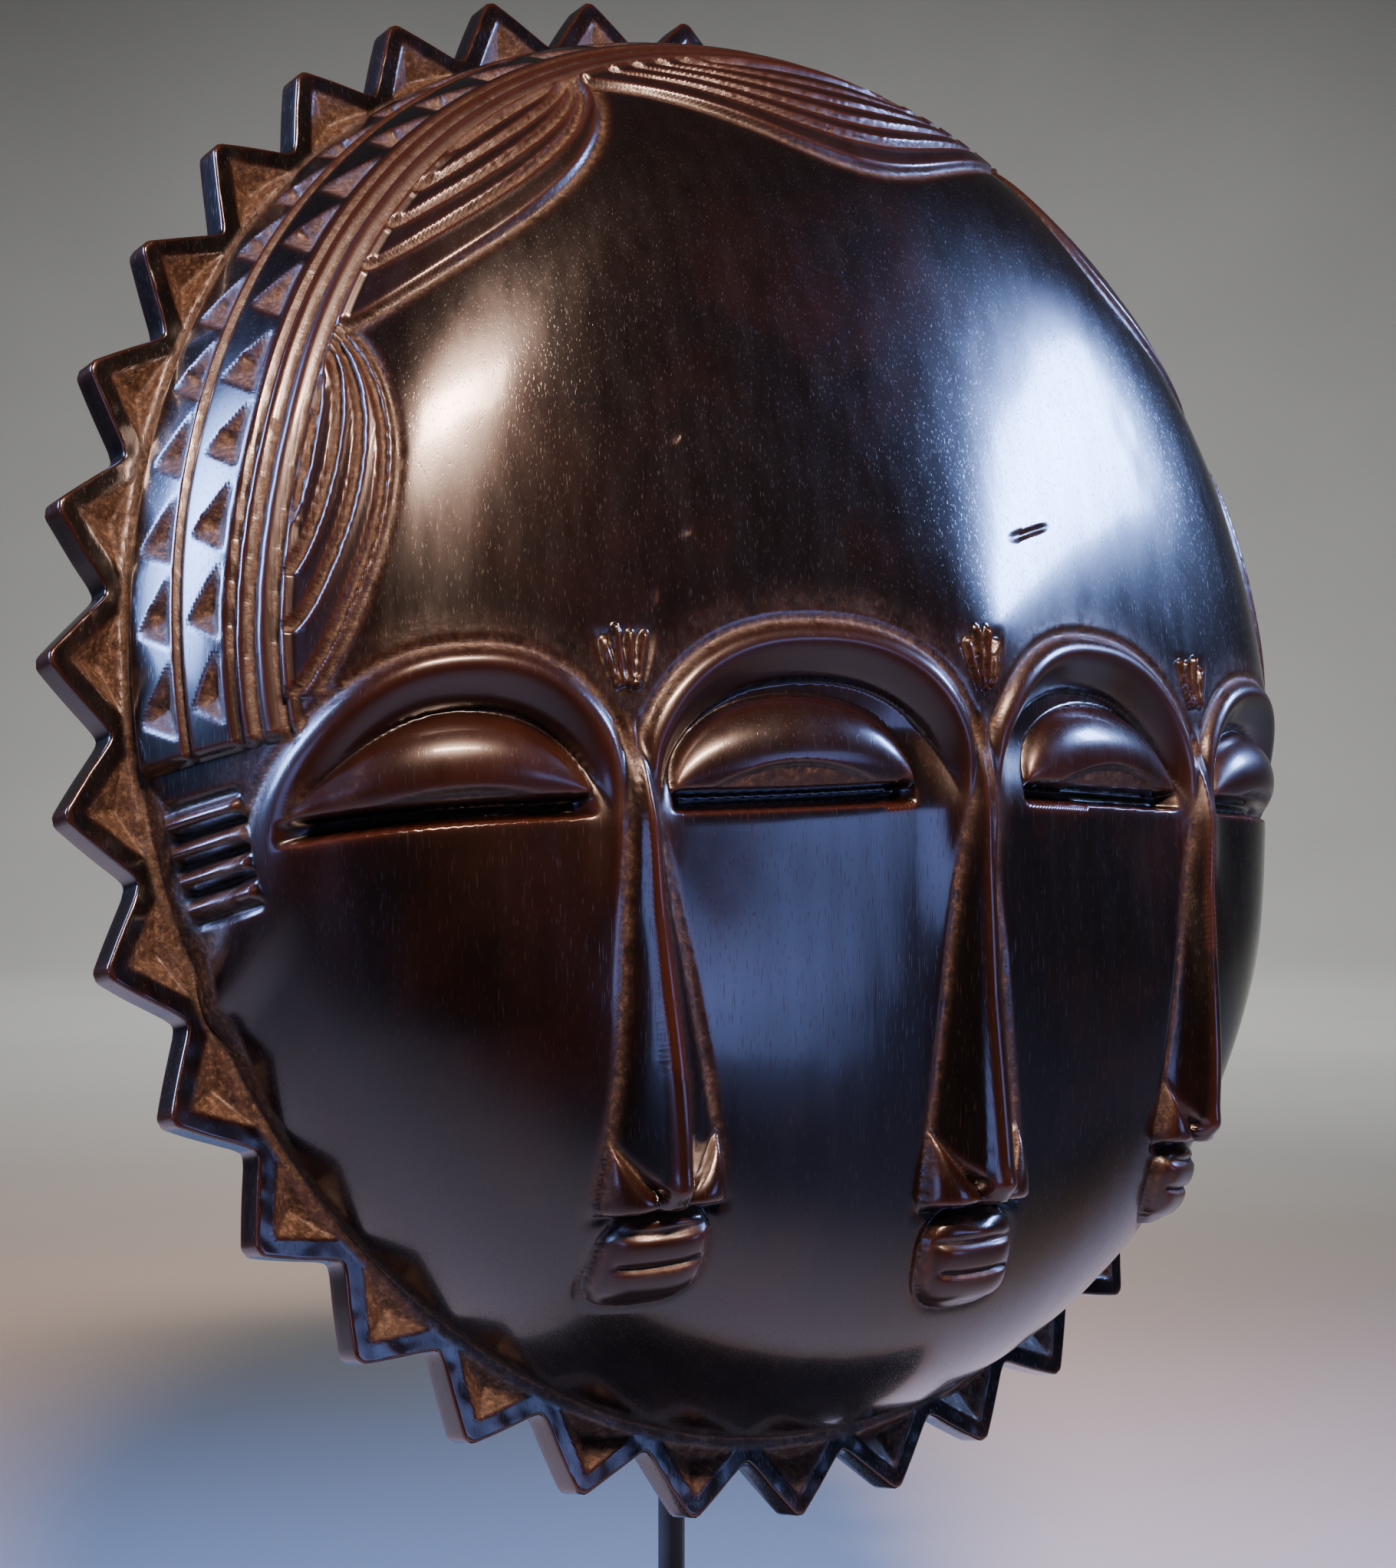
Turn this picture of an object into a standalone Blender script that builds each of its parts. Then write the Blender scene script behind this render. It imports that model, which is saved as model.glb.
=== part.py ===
# Baule mask on its display stand: one carved wooden shell with four eyes, three noses and three
# mouths, a toothed rim and a hair border, held from behind by a black steel stand.
# The mask is modelled upright in its own frame (X across, -Y to the viewer, Z up, rim front at Y 0)
# and then leans back on the stand. Metres; positions on the face are in parts of UNIT.
import math

import bmesh
import bpy
import numpy as np
from mathutils import Matrix, Vector

UNIT = 0.165                      # half height of the toothed rim, all carved forms scale with it
LEAN = math.radians(10.7)

# Toothed rim.
TIP_HALF_WIDTH = 0.959 * UNIT
VALLEY_RATIO = 0.933              # tooth valleys against tooth tips
FLANGE_THICKNESS = 0.0065
TOOTH_COUNT = 36
TOOTH_PHASE = math.radians(6.6)
TOOTH_BLUNT = math.radians(0.35)
TOOTH_PIT_HALF = math.radians(3.6)
TOOTH_PIT_RADII = (0.917, 0.930, 0.974)   # base, deep point and apex
TOOTH_PIT_DEPTH = 0.0035

# Domed shell.
DOME_RATIO = 0.903                # foot of the dome against tooth tips
DOME_HALF_WIDTH = DOME_RATIO * TIP_HALF_WIDTH
DOME_HALF_HEIGHT = DOME_RATIO * UNIT
DOME_RISE = 0.454 * UNIT
DOME_SLOPE = 0.355                # share of the rise lost from the middle to the edge
MIDDLE_SOFT = 0.06                # rounds the summit of the cone
SLOPE_POWER = 0.412
FOREHEAD_FULL = 0.130             # the forehead stands fuller than the chin
SIDE_POWER = 9.77                 # steep wall at the edge
CROWN_EASE = 2.6                  # the wall begins earlier over the crown
SIDE_ROUND = 0.703
WALL = 0.012

# Hair border, from temple to temple over the crown.
BAND_END = math.radians(184.5)
BAND_HEIGHT = 0.0009
CROWN_LIFT = 0.22
PIT_COUNT = 30
PIT_FIRST = math.radians(180.4)
PIT_HALF = math.radians(2.75)
PIT_DEPTH = 0.0024
PIT_ROWS = ((0.034, 0.087), (0.120, 0.171))
RIDGE_HEIGHT = 0.0011
BORDER_STEPS = 28
LOBE_ARC_HALF = 0.0095 * UNIT
TEMPLE_RIDGES = 4
TEMPLE_FIRST = 188.6              # degrees
TEMPLE_STEP = 2.0

# Face.
NOSE_ROOT = -0.468                # X of a side nose at its root
NOSE_FOOT = -0.428                # X of a side nose at its tip
BROW_HALF_WIDTH = 0.024 * UNIT
BROW_HEIGHT = 0.0036
BROW_POWER = 2.0 / 2.3            # squarer shoulders than a plain ellipse
BROW_FOOT = -0.205
LID_LIFT = 0.0030
LID_UNDERCUT = 0.0065
SOCKET_DEPTH = 0.0045
MOUTH_LIFT = 0.034
LIP_SLIT_HALF = 0.0009
LIP_SLIT_DEPTH = 0.0022
TOOL_OVERLAP = 0.002              # how far a raised form reaches under the surface

# Stand.
FOOT_SIZE = (0.170, 0.108, 0.012)
FOOT_BEVEL = 0.0015
POST_RADIUS = 0.003
CLEAR_BELOW = 0.060               # open height between the foot and the lowest tooth
BAR_WIDTH = 0.012
BAR_THICKNESS = 0.004
BAR_BEVEL = 0.0006
CROSS_HALF_LENGTH = 0.142
CROSS_HEIGHT = 0.0165
HOOK_REACH = 0.1312               # the hooks bear on the shell inner wall, above and below
HOOK_DEPTH = 0.013
BLOCK_HALF_WIDTH = 0.008
GAP = 0.0003

MASK_Y = 0.0203                   # puts the middle of the whole outline over the origin
MASK_Z = FOOT_SIZE[2] + CLEAR_BELOW + UNIT * math.cos(LEAN)
POST_Y = MASK_Y + 0.024
BLOCK_BACK = MASK_Y + 0.032
BLOCK_LOW = MASK_Z - 0.012
BLOCK_HIGH = MASK_Z + 0.010
PLACE = Matrix.Translation((0.0, MASK_Y, MASK_Z)) @ Matrix.Rotation(-LEAN, 4, "X")

for item in list(bpy.data.objects):
    bpy.data.objects.remove(item, do_unlink=True)


def material(name, color, rough, metal=0.0):
    mat = bpy.data.materials.new(name)
    mat.use_nodes = True
    shader = mat.node_tree.nodes["Principled BSDF"]
    shader.inputs["Base Color"].default_value = (*color, 1.0)
    shader.inputs["Roughness"].default_value = rough
    shader.inputs["Metallic"].default_value = metal
    return mat


WOOD = material("polished_dark_wood", (0.030, 0.016, 0.010), 0.25)
STEEL_FOOT = material("foot_black_steel", (0.012, 0.012, 0.013), 0.45, 0.6)
STEEL_POST = material("post_black_steel", (0.014, 0.014, 0.015), 0.40, 0.6)
STEEL_BARS = material("bars_black_steel", (0.014, 0.014, 0.015), 0.45, 0.6)
STEEL_HOOKS = material("hooks_black_steel", (0.014, 0.014, 0.015), 0.45, 0.6)


def collection(name):
    group = bpy.data.collections.new(name)
    bpy.context.scene.collection.children.link(group)
    return group


HOLLOWED = collection("hollowed_forms")
RAISED = collection("raised_forms")
SUNK = collection("sunk_forms")


def rise(x, z):
    # Height of the smooth shell over the rim plane: a softened cone over the elliptical radius,
    # fuller at the forehead, closed at the foot by a steep rounded wall.
    rho = np.clip(np.hypot(x / DOME_HALF_WIDTH, z / DOME_HALF_HEIGHT), 0.0, 1.0)
    cone = (rho**2 + MIDDLE_SOFT**2) ** SLOPE_POWER - MIDDLE_SOFT ** (2.0 * SLOPE_POWER)
    crown = np.clip(z / DOME_HALF_HEIGHT, 0.0, 1.0) ** 4
    wall = np.clip(1.0 - rho ** (SIDE_POWER - CROWN_EASE * crown), 0.0, 1.0) ** SIDE_ROUND
    return DOME_RISE * (1.0 - DOME_SLOPE * cone) * (1.0 + FOREHEAD_FULL * z / DOME_HALF_HEIGHT) * wall


def point(x, z):
    return Vector((x, -float(rise(x, z)), z))


def frame_at(x, z):
    # Surface point and outward normal on the smooth shell.
    e = 0.0004
    dx = point(x + e, z) - point(x - e, z)
    dz = point(x, z + e) - point(x, z - e)
    return point(x, z), dx.cross(dz).normalized()


RADII = 1.0 - np.geomspace(1e-6, 1.0, 600)[::-1]


def wall_xz(angle, climb):
    # X and Z of the shell point at a rim angle, at a climb measured along the surface from the foot.
    x = DOME_HALF_WIDTH * RADII * math.cos(angle)
    z = DOME_HALF_HEIGHT * RADII * math.sin(angle)
    h = rise(x, z)
    step = np.hypot(np.diff(np.hypot(x, z)), np.diff(h))
    along = np.concatenate([[0.0], np.cumsum(step[::-1])]) + h[-1]
    rho = np.interp(climb, along, RADII[::-1])
    return DOME_HALF_WIDTH * rho * math.cos(angle), DOME_HALF_HEIGHT * rho * math.sin(angle)


def climb_at(angle, part):
    # A line of the hair border, drawn a little higher over the crown than at the temples.
    crown = math.exp(-(((math.degrees(angle) - 90.0) / 28.0) ** 2))
    return part * UNIT * (1.0 + CROWN_LIFT * crown)


def solid(name, verts, faces, group=None, mat=None):
    # A closed mesh with its faces turned outward; a tool shape goes to a group and stays hidden.
    mesh = bpy.data.meshes.new(name)
    mesh.from_pydata([tuple(v) for v in verts], [], faces)
    bm = bmesh.new()
    bm.from_mesh(mesh)
    bmesh.ops.recalc_face_normals(bm, faces=bm.faces)
    bm.to_mesh(mesh)
    bm.free()
    obj = bpy.data.objects.new(name, mesh)
    obj.matrix_world = PLACE
    if mat:
        mesh.materials.append(mat)
    if group:
        group.objects.link(obj)
        obj.hide_render = True
        obj.display_type = "WIRE"
    else:
        bpy.context.scene.collection.objects.link(obj)
    return obj


def loft(name, rings, group=None, mat=None):
    # Skin over a row of equal rings of points, capped at both ends.
    count, size = len(rings), len(rings[0])
    verts = [v for ring in rings for v in ring]
    faces = []
    for i in range(count - 1):
        for k in range(size):
            m = (k + 1) % size
            faces.append((i * size + k, i * size + m, (i + 1) * size + m, (i + 1) * size + k))
    faces.append(tuple(range(size)))
    faces.append(tuple((count - 1) * size + k for k in range(size)))
    return solid(name, verts, faces, group, mat)


def ribbon(name, path, half_widths, heights, section):
    # Sweeps a raised section over the shell: path gives X and Z, section gives (across, up) in parts
    # of the half width and height, and a negative up lies under the surface.
    rings = []
    for i, (x, z) in enumerate(path):
        base, normal = frame_at(x, z)
        before, after = path[max(i - 1, 0)], path[min(i + 1, len(path) - 1)]
        along = (point(*after) - point(*before)).normalized()
        side = normal.cross(along).normalized()
        ring = []
        for across, up in section:
            lift = heights[i] * up if up >= 0.0 else -TOOL_OVERLAP
            ring.append(base + side * (across * half_widths[i]) + normal * lift)
        rings.append(ring)
    loft(name, rings, RAISED)


ROUND = [(-1.0, -1.0), (-1.0, 0.1), (-0.5, 0.95), (0.5, 0.95), (1.0, 0.1), (1.0, -1.0)]
FLAT = [(-1.0, -1.0), (-1.0, 1.0), (1.0, 1.0), (1.0, -1.0)]
SHARP = [(-1.0, -1.0), (0.0, 1.0), (1.0, -1.0)]


def dome_solid(name, columns, radii, half_width, half_height, height, back, group=None, mat=None):
    # Rings of a dome down to its foot, then a straight side to a flat back.
    rings = []
    for rho in radii:
        ring = []
        for k in range(columns):
            a = 2.0 * math.pi * k / columns
            x, z = half_width * rho * math.cos(a), half_height * rho * math.sin(a)
            ring.append(Vector((x, -height(x, z), z)))
        rings.append(ring)
    rings.append([Vector((v.x, back, v.z)) for v in rings[-1]])
    verts = [Vector((0.0, -height(0.0, 0.0), 0.0))] + [v for ring in rings for v in ring]
    faces = [(0, 1 + k, 1 + (k + 1) % columns) for k in range(columns)]
    for i in range(len(rings) - 1):
        for k in range(columns):
            m = (k + 1) % columns
            a, b = 1 + i * columns, 1 + (i + 1) * columns
            faces.append((a + k, a + m, b + m, b + k))
    faces.append(tuple(1 + (len(rings) - 1) * columns + k for k in range(columns)))
    return solid(name, verts, faces, group, mat)


OUTER_RADII = [0.1, 0.25, 0.4, 0.54, 0.66, 0.76, 0.84, 0.9, 0.94, 0.968, 0.986, 0.996, 1.0]
mask = dome_solid("mask", 60, OUTER_RADII, DOME_HALF_WIDTH, DOME_HALF_HEIGHT,
                  lambda x, z: float(rise(x, z)), FLANGE_THICKNESS, mat=WOOD)

# Hollow back: the same shell drawn in by the wall, running out through the back plane.
INNER_RADII = [0.2, 0.45, 0.68, 0.84, 0.94, 0.985, 1.0]
INNER_HALF_WIDTH = DOME_HALF_WIDTH - WALL
INNER_HALF_HEIGHT = DOME_HALF_HEIGHT - WALL


def inner_rise(x, z):
    grow = DOME_HALF_WIDTH / INNER_HALF_WIDTH
    return max(float(rise(x * grow, z * grow)) * (1.0 - WALL / DOME_RISE) - 0.001, -0.001)


dome_solid("hollow", 36, INNER_RADII, INNER_HALF_WIDTH, INNER_HALF_HEIGHT, inner_rise,
           FLANGE_THICKNESS + 0.01, SUNK)


# Toothed rim: a flat plate whose outline runs from blunt tip to valley round the ellipse.
def rim_point(angle, ratio, y):
    return Vector((ratio * TIP_HALF_WIDTH * math.cos(angle), y, ratio * UNIT * math.sin(angle)))


def pit(name, corners, deep):
    # Three-sided chip cut: three corners lifted just clear of the surface and one deep point.
    solid(name, corners + [deep], [(0, 1, 2), (0, 3, 1), (1, 3, 2), (2, 3, 0)], SUNK)


outline = []
for n in range(TOOTH_COUNT):
    tip = TOOTH_PHASE + 2.0 * math.pi * n / TOOTH_COUNT
    valley = tip + math.pi / TOOTH_COUNT
    outline += [(tip - TOOTH_BLUNT, 1.0), (tip + TOOTH_BLUNT, 1.0), (valley, VALLEY_RATIO)]
    base, deep, apex = TOOTH_PIT_RADII
    corners = [rim_point(tip - TOOTH_PIT_HALF, base, -0.0004),
               rim_point(tip + TOOTH_PIT_HALF, base, -0.0004),
               rim_point(tip, apex, -0.0004)]
    pit("tooth_pit", corners, rim_point(tip, deep, TOOTH_PIT_DEPTH))
loft("toothed_rim", [[rim_point(a, r, 0.0) for a, r in outline],
                     [rim_point(a, r, FLANGE_THICKNESS) for a, r in outline]], RAISED)

# Hair border: two flat bands with chip-cut triangles, then two sharp ridges.
BORDER_ANGLES = [math.pi - BAND_END + (2.0 * BAND_END - math.pi) * i / BORDER_STEPS
                 for i in range(BORDER_STEPS + 1)]
for name, part, half, section, height in (("band_low", 0.056, 0.040, FLAT, BAND_HEIGHT),
                                          ("band_high", 0.142, 0.036, FLAT, BAND_HEIGHT),
                                          ("ridge_low", 0.192, 0.010, SHARP, RIDGE_HEIGHT),
                                          ("ridge_high", 0.228, 0.012, SHARP, RIDGE_HEIGHT)):
    path = [wall_xz(a, climb_at(a, part)) for a in BORDER_ANGLES]
    ribbon(name, path, [half * UNIT] * len(path), [height] * len(path), section)


def on_wall(angle, part, lift):
    base, normal = frame_at(*wall_xz(angle, climb_at(angle, part)))
    return base + normal * lift


for low, high in PIT_ROWS:
    for n in range(PIT_COUNT):
        a = PIT_FIRST - (2.0 * PIT_FIRST - math.pi) * n / (PIT_COUNT - 1)
        lift = BAND_HEIGHT + 0.0005
        corners = [on_wall(a - PIT_HALF, high, lift), on_wall(a, low, lift), on_wall(a + PIT_HALF, high, lift)]
        pit("band_pit", corners, on_wall(a, high - 0.36 * (high - low), BAND_HEIGHT - PIT_DEPTH))

# Hair lobes: five scallops under the border, each a set of nested arched ridges; a lobe is its first
# and last rim angle, the climb of its feet and its height over them.
LOBES = [(182.0, 152.5, 0.246, 0.098), (152.5, 116.3, 0.250, 0.132), (116.3, 63.7, 0.255, 0.150),
         (63.7, 27.5, 0.250, 0.132), (27.5, -2.0, 0.246, 0.098)]
for start, end, base, height in LOBES:
    middle, half = 0.5 * (start + end), 0.5 * (start - end)
    for share, count in ((1.0, 10), (0.62, 7)):
        path = []
        for i in range(count + 1):
            c = math.cos(math.pi * i / count) * 0.985
            a = math.radians(middle + half * c * (0.35 + 0.65 * share))
            path.append(wall_xz(a, climb_at(a, base + height * share * (1.0 - c * c) ** 0.75)))
        ribbon("lobe_arc", path, [LOBE_ARC_HALF] * len(path), [RIDGE_HEIGHT] * len(path), SHARP)

# Temple ridges: short level ridges below each end of the border.
for side in (1.0, -1.0):
    for n in range(TEMPLE_RIDGES):
        a = math.radians(TEMPLE_FIRST + TEMPLE_STEP * n)
        path = [wall_xz(a, part * UNIT) for part in (0.045, 0.08, 0.115, 0.145)]
        ribbon("temple_ridge", [(side * x, z) for x, z in path], [0.014 * UNIT] * 4,
               [0.0004, 0.0013, 0.0013, 0.0004], SHARP)


# Brows: four round ridges on half ellipses that meet over the noses.
def brow(name, middle, half, top, last):
    path, widths, heights, count = [], [], [], 13
    for i in range(count + 1):
        a = math.radians(last * i / count)
        across = math.copysign(abs(math.cos(a)) ** BROW_POWER, math.cos(a))
        up = max(math.sin(a), 0.0) ** BROW_POWER
        path.append(((middle + half * across) * UNIT, (BROW_FOOT + (top - BROW_FOOT) * up) * UNIT))
        full = min(1.0, 0.45 + 1.1 * math.sin(math.pi * i / count))
        widths.append(BROW_HALF_WIDTH * full)
        heights.append(BROW_HEIGHT * full)
    ribbon(name, path, widths, heights, ROUND)


# Eyelids: full lids with a straight lower edge over a deep undercut.
def eyelid(middle, half, low, top):
    rings, count = [], 9
    for i in range(count + 1):
        c = math.cos(math.pi * i / count) * 0.995
        bow = math.sqrt(1.0 - c * c)
        x = (middle + half * c) * UNIT
        ring = []
        for share, up in ((0.0, -1.0), (0.0, 0.62), (0.22, 1.0), (0.55, 0.86), (0.85, 0.4), (1.0, -1.0)):
            base, normal = frame_at(x, (low + share * (top - low) * bow) * UNIT)
            ring.append(base + normal * (LID_LIFT * up * (0.25 + 0.75 * bow) if up > 0.0 else -LID_UNDERCUT))
        rings.append(ring)
    loft("eyelid", rings, RAISED)


# Sockets: the hollow between brow and lid, run out over the upper cheek.
def socket(middle, half, low, top):
    rings, count = [], 8
    for i in range(count + 1):
        c = math.cos(math.pi * i / count) * 0.99
        bow = math.sqrt(1.0 - c * c)
        x = (middle + half * c) * UNIT
        ring = []
        for share, depth in ((0.0, -1.0), (0.0, 0.05), (0.42, 1.0), (0.75, 0.85), (1.0, 0.05), (1.0, -1.0)):
            base, normal = frame_at(x, (low + (top - low) * (0.5 + (share - 0.5) * bow)) * UNIT)
            ring.append(base + normal * (-SOCKET_DEPTH * depth * bow if depth > 0.0 else 0.004))
        rings.append(ring)
    loft("socket", rings, HOLLOWED)


# Noses: a narrow crest that widens and stands prouder down to the nostril wings. A station is its
# height on the middle nose, its half width and how far it stands out.
NOSE_TOP = -0.135
NOSE_STATIONS = [(NOSE_TOP, 0.020, 0.020), (-0.20, 0.020, 0.020), (-0.30, 0.034, 0.026),
                 (-0.40, 0.047, 0.033), (-0.50, 0.062, 0.044), (-0.555, 0.072, 0.052),
                 (-0.585, 0.084, 0.056), (-0.615, 0.086, 0.057), (-0.636, 0.078, 0.050)]


def facing(x, z):
    # Outward direction turned partly to the viewer, as the noses and mouths stand.
    return (frame_at(x * UNIT, z * UNIT)[1] + Vector((0.0, -0.6, 0.0))).normalized()


def nose(root, foot, tip, scale):
    rings = []
    for station, half, lift in NOSE_STATIONS:
        share = (station - NOSE_TOP) / (NOSE_STATIONS[-1][0] - NOSE_TOP)
        x, z = root + (foot - root) * share, NOSE_TOP + (tip - NOSE_TOP) * share
        base, normal = point(x * UNIT, z * UNIT), facing(x, z)
        across = (Vector((1.0, 0.0, 0.0)) - normal * normal.x).normalized()
        wing = 0.30 if station > -0.57 else 0.55
        ring = []
        for u, w in ((-1.0, -0.2), (-0.95, 0.12), (-0.45, wing), (-0.16, 1.0),
                     (0.16, 1.0), (0.45, wing), (0.95, 0.12), (1.0, -0.2)):
            ring.append(base + across * (u * half * scale * UNIT) + normal * (w * lift * scale * UNIT))
        rings.append(ring)
    loft("nose", rings, RAISED)


# Mouths: an oval boss with a lip slit.
def mouth(x, z, half_width, half_height, slit):
    rings, count, normal = [], 8, facing(x, z)
    for i in range(count + 1):
        v = -1.0 + 2.0 * i / count
        v = math.copysign(1.0, v) * abs(v) ** 0.8 * 0.97
        bow = (1.0 - v * v) ** 0.40
        base = point(x * UNIT, (z + v * half_height) * UNIT)
        ring = []
        for u, w in ((-1.0, -0.25), (-0.92, 0.45), (-0.5, 0.9), (0.0, 1.0),
                     (0.5, 0.9), (0.92, 0.45), (1.0, -0.25)):
            across = Vector((u * half_width * bow * UNIT, 0.0, 0.0))
            ring.append(base + across + normal * (w * MOUTH_LIFT * bow * UNIT))
        rings.append(ring)
    loft("mouth", rings, RAISED)
    rings = []
    for u in (-0.72, 0.0, 0.72):
        across = Vector((u * half_width * UNIT, 0.0, 0.0))
        base = point(x * UNIT, slit * UNIT) + normal * (MOUTH_LIFT * UNIT) + across
        outside = base + Vector((0.0, -0.006, 0.0))
        open_half = Vector((0.0, 0.0, LIP_SLIT_HALF * (1.0 - 0.8 * abs(u))))
        deep = LIP_SLIT_DEPTH * (1.0 if u == 0.0 else 1.9)
        rings.append([outside + open_half, outside - open_half, base - normal * deep])
    loft("lip_slit", rings, SUNK)


nose(0.0, 0.0, -0.630, 1.0)
mouth(0.0, -0.704, 0.080, 0.056, -0.716)
for side in (1.0, -1.0):
    brow("brow_outer", -side * 0.642, side * 0.172, -0.022, 160.0)
    brow("brow_inner", -side * 0.234, side * 0.229, 0.010, 180.0)
    socket(-side * 0.655, 0.150, -0.235, -0.045)
    socket(-side * 0.250, 0.185, -0.240, -0.018)
    eyelid(-side * 0.655, 0.140, -0.160, -0.058)
    eyelid(-side * 0.255, 0.160, -0.157, -0.046)
    nose(side * NOSE_ROOT, side * NOSE_FOOT, -0.592, 0.86)
    mouth(side * -0.421, -0.650, 0.064, 0.050, -0.651)

# Forehead marks: small upright notched ridges over each meeting of the brows.
for middle, foot in ((0.0, -0.052), (NOSE_ROOT, -0.048), (-NOSE_ROOT, -0.048)):
    for k in (-1.2, 0.0, 1.2):
        path = [((middle + 0.019 * k) * UNIT, (foot + up + 0.012 * abs(k)) * UNIT)
                for up in (0.0, 0.025, 0.060)]
        ribbon("forehead_mark", path, [0.004 * UNIT, 0.0085 * UNIT, 0.004 * UNIT],
               [0.0004, 0.0014, 0.0003], SHARP)

for name, operation, group in (("carve_sockets", "DIFFERENCE", HOLLOWED), ("add_forms", "UNION", RAISED),
                               ("cut_forms", "DIFFERENCE", SUNK)):
    step = mask.modifiers.new(name, "BOOLEAN")
    step.operation = operation
    step.solver = "EXACT"
    step.operand_type = "COLLECTION"
    step.collection = group
mask.data.shade_smooth()
mask.data.set_sharp_from_angle(angle=math.radians(32.0))


# Stand: a foot plate, a round post, a block at its top, and a spine with a cross bar and two hooks.
def finish(name, bm, mat, matrix):
    mesh = bpy.data.meshes.new(name)
    bm.to_mesh(mesh)
    bm.free()
    mesh.materials.append(mat)
    obj = bpy.data.objects.new(name, mesh)
    obj.matrix_world = matrix
    bpy.context.scene.collection.objects.link(obj)
    return obj


def bar(name, low, high, mat, matrix=PLACE, bevel=BAR_BEVEL):
    # A straight bar between two opposite corners.
    bm = bmesh.new()
    bmesh.ops.create_cube(bm, size=1.0)
    bmesh.ops.scale(bm, vec=[b - a for a, b in zip(low, high)], verts=bm.verts)
    bmesh.ops.translate(bm, vec=[(a + b) / 2.0 for a, b in zip(low, high)], verts=bm.verts)
    bmesh.ops.bevel(bm, geom=bm.edges[:], offset=bevel, segments=1, affect="EDGES")
    finish(name, bm, mat, matrix)


HALF_BAR = BAR_WIDTH / 2.0
CROSS_FRONT = FLANGE_THICKNESS + GAP
SPINE_FRONT = CROSS_FRONT + BAR_THICKNESS + GAP
SPINE_BACK = SPINE_FRONT + BAR_THICKNESS
bar("cross_bar", (-CROSS_HALF_LENGTH, CROSS_FRONT, CROSS_HEIGHT - HALF_BAR),
    (CROSS_HALF_LENGTH, CROSS_FRONT + BAR_THICKNESS, CROSS_HEIGHT + HALF_BAR), STEEL_BARS)
bar("spine", (-HALF_BAR, SPINE_FRONT, -HOOK_REACH), (HALF_BAR, SPINE_BACK, HOOK_REACH), STEEL_BARS)
for name, sign in (("upper_hook", 1.0), ("lower_hook", -1.0)):
    ends = sorted((sign * HOOK_REACH, sign * (HOOK_REACH - BAR_THICKNESS)))
    bar(name, (-HALF_BAR, -HOOK_DEPTH, ends[0]), (HALF_BAR, SPINE_FRONT - GAP, ends[1]), STEEL_HOOKS)

# The block carries the leaning spine on the upright post: sloped in front, square behind.
rings = []
for x in (-BLOCK_HALF_WIDTH, BLOCK_HALF_WIDTH):
    ring = []
    for z in (BLOCK_LOW, BLOCK_HIGH):
        front = MASK_Y + (SPINE_BACK + GAP) / math.cos(LEAN) + (z - MASK_Z) * math.tan(LEAN)
        ring.append(Vector((x, front, z)))
    ring += [Vector((x, BLOCK_BACK, BLOCK_HIGH)), Vector((x, BLOCK_BACK, BLOCK_LOW))]
    rings.append(ring)
block = loft("post_block", rings, mat=STEEL_POST)
block.matrix_world = Matrix.Identity(4)

bm = bmesh.new()
bottom, top = FOOT_SIZE[2] + GAP, BLOCK_LOW - GAP
bmesh.ops.create_cone(bm, cap_ends=True, segments=24, radius1=POST_RADIUS, radius2=POST_RADIUS,
                      depth=top - bottom)
post = finish("post", bm, STEEL_POST, Matrix.Translation((0.0, POST_Y, (top + bottom) / 2.0)))
post.data.shade_smooth()
post.data.set_sharp_from_angle(angle=math.radians(40.0))
bar("foot", (-FOOT_SIZE[0] / 2.0, -FOOT_SIZE[1] / 2.0, 0.0),
    (FOOT_SIZE[0] / 2.0, FOOT_SIZE[1] / 2.0, FOOT_SIZE[2]), STEEL_FOOT, Matrix.Identity(4), FOOT_BEVEL)
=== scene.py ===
import math

import bpy
import numpy as np
from mathutils import Matrix, Vector


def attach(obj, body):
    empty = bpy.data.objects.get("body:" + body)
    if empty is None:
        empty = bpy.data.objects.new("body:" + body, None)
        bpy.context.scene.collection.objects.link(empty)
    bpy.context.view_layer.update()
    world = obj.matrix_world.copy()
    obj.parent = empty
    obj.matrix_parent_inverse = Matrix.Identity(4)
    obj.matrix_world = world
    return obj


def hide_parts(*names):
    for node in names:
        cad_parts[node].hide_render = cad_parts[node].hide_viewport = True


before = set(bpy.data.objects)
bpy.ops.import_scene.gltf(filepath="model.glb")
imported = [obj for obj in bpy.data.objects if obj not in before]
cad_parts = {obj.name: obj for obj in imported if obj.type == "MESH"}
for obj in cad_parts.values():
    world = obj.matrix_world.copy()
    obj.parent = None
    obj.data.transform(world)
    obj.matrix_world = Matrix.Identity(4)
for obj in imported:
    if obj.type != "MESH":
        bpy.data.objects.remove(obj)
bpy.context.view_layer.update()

# Every carved form is given in the mask's own frame: X across, -Y to the viewer, Z up, rim front at
# Y 0, positions in parts of the unit, relief in metres.
unit = 0.165
lean = math.radians(10.7)
maskY = 0.0203
maskZ = 0.012 + 0.060 + unit * math.cos(lean)


def placed(points):
    # Turns points of the mask's frame back by the lean and moves them onto the stand.
    x, y, z = points[..., 0], points[..., 1], points[..., 2]
    s, c = math.sin(lean), math.cos(lean)
    return np.stack([x, y * c + z * s + maskY, z * c - y * s + maskZ], -1)


def smooth(low, high, value):
    # Cubic step: 0 below low, 1 above high, 3t^2 - 2t^3 between.
    t = np.clip((value - low) / (high - low), 0.0, 1.0)
    return t * t * (3.0 - 2.0 * t)


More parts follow.
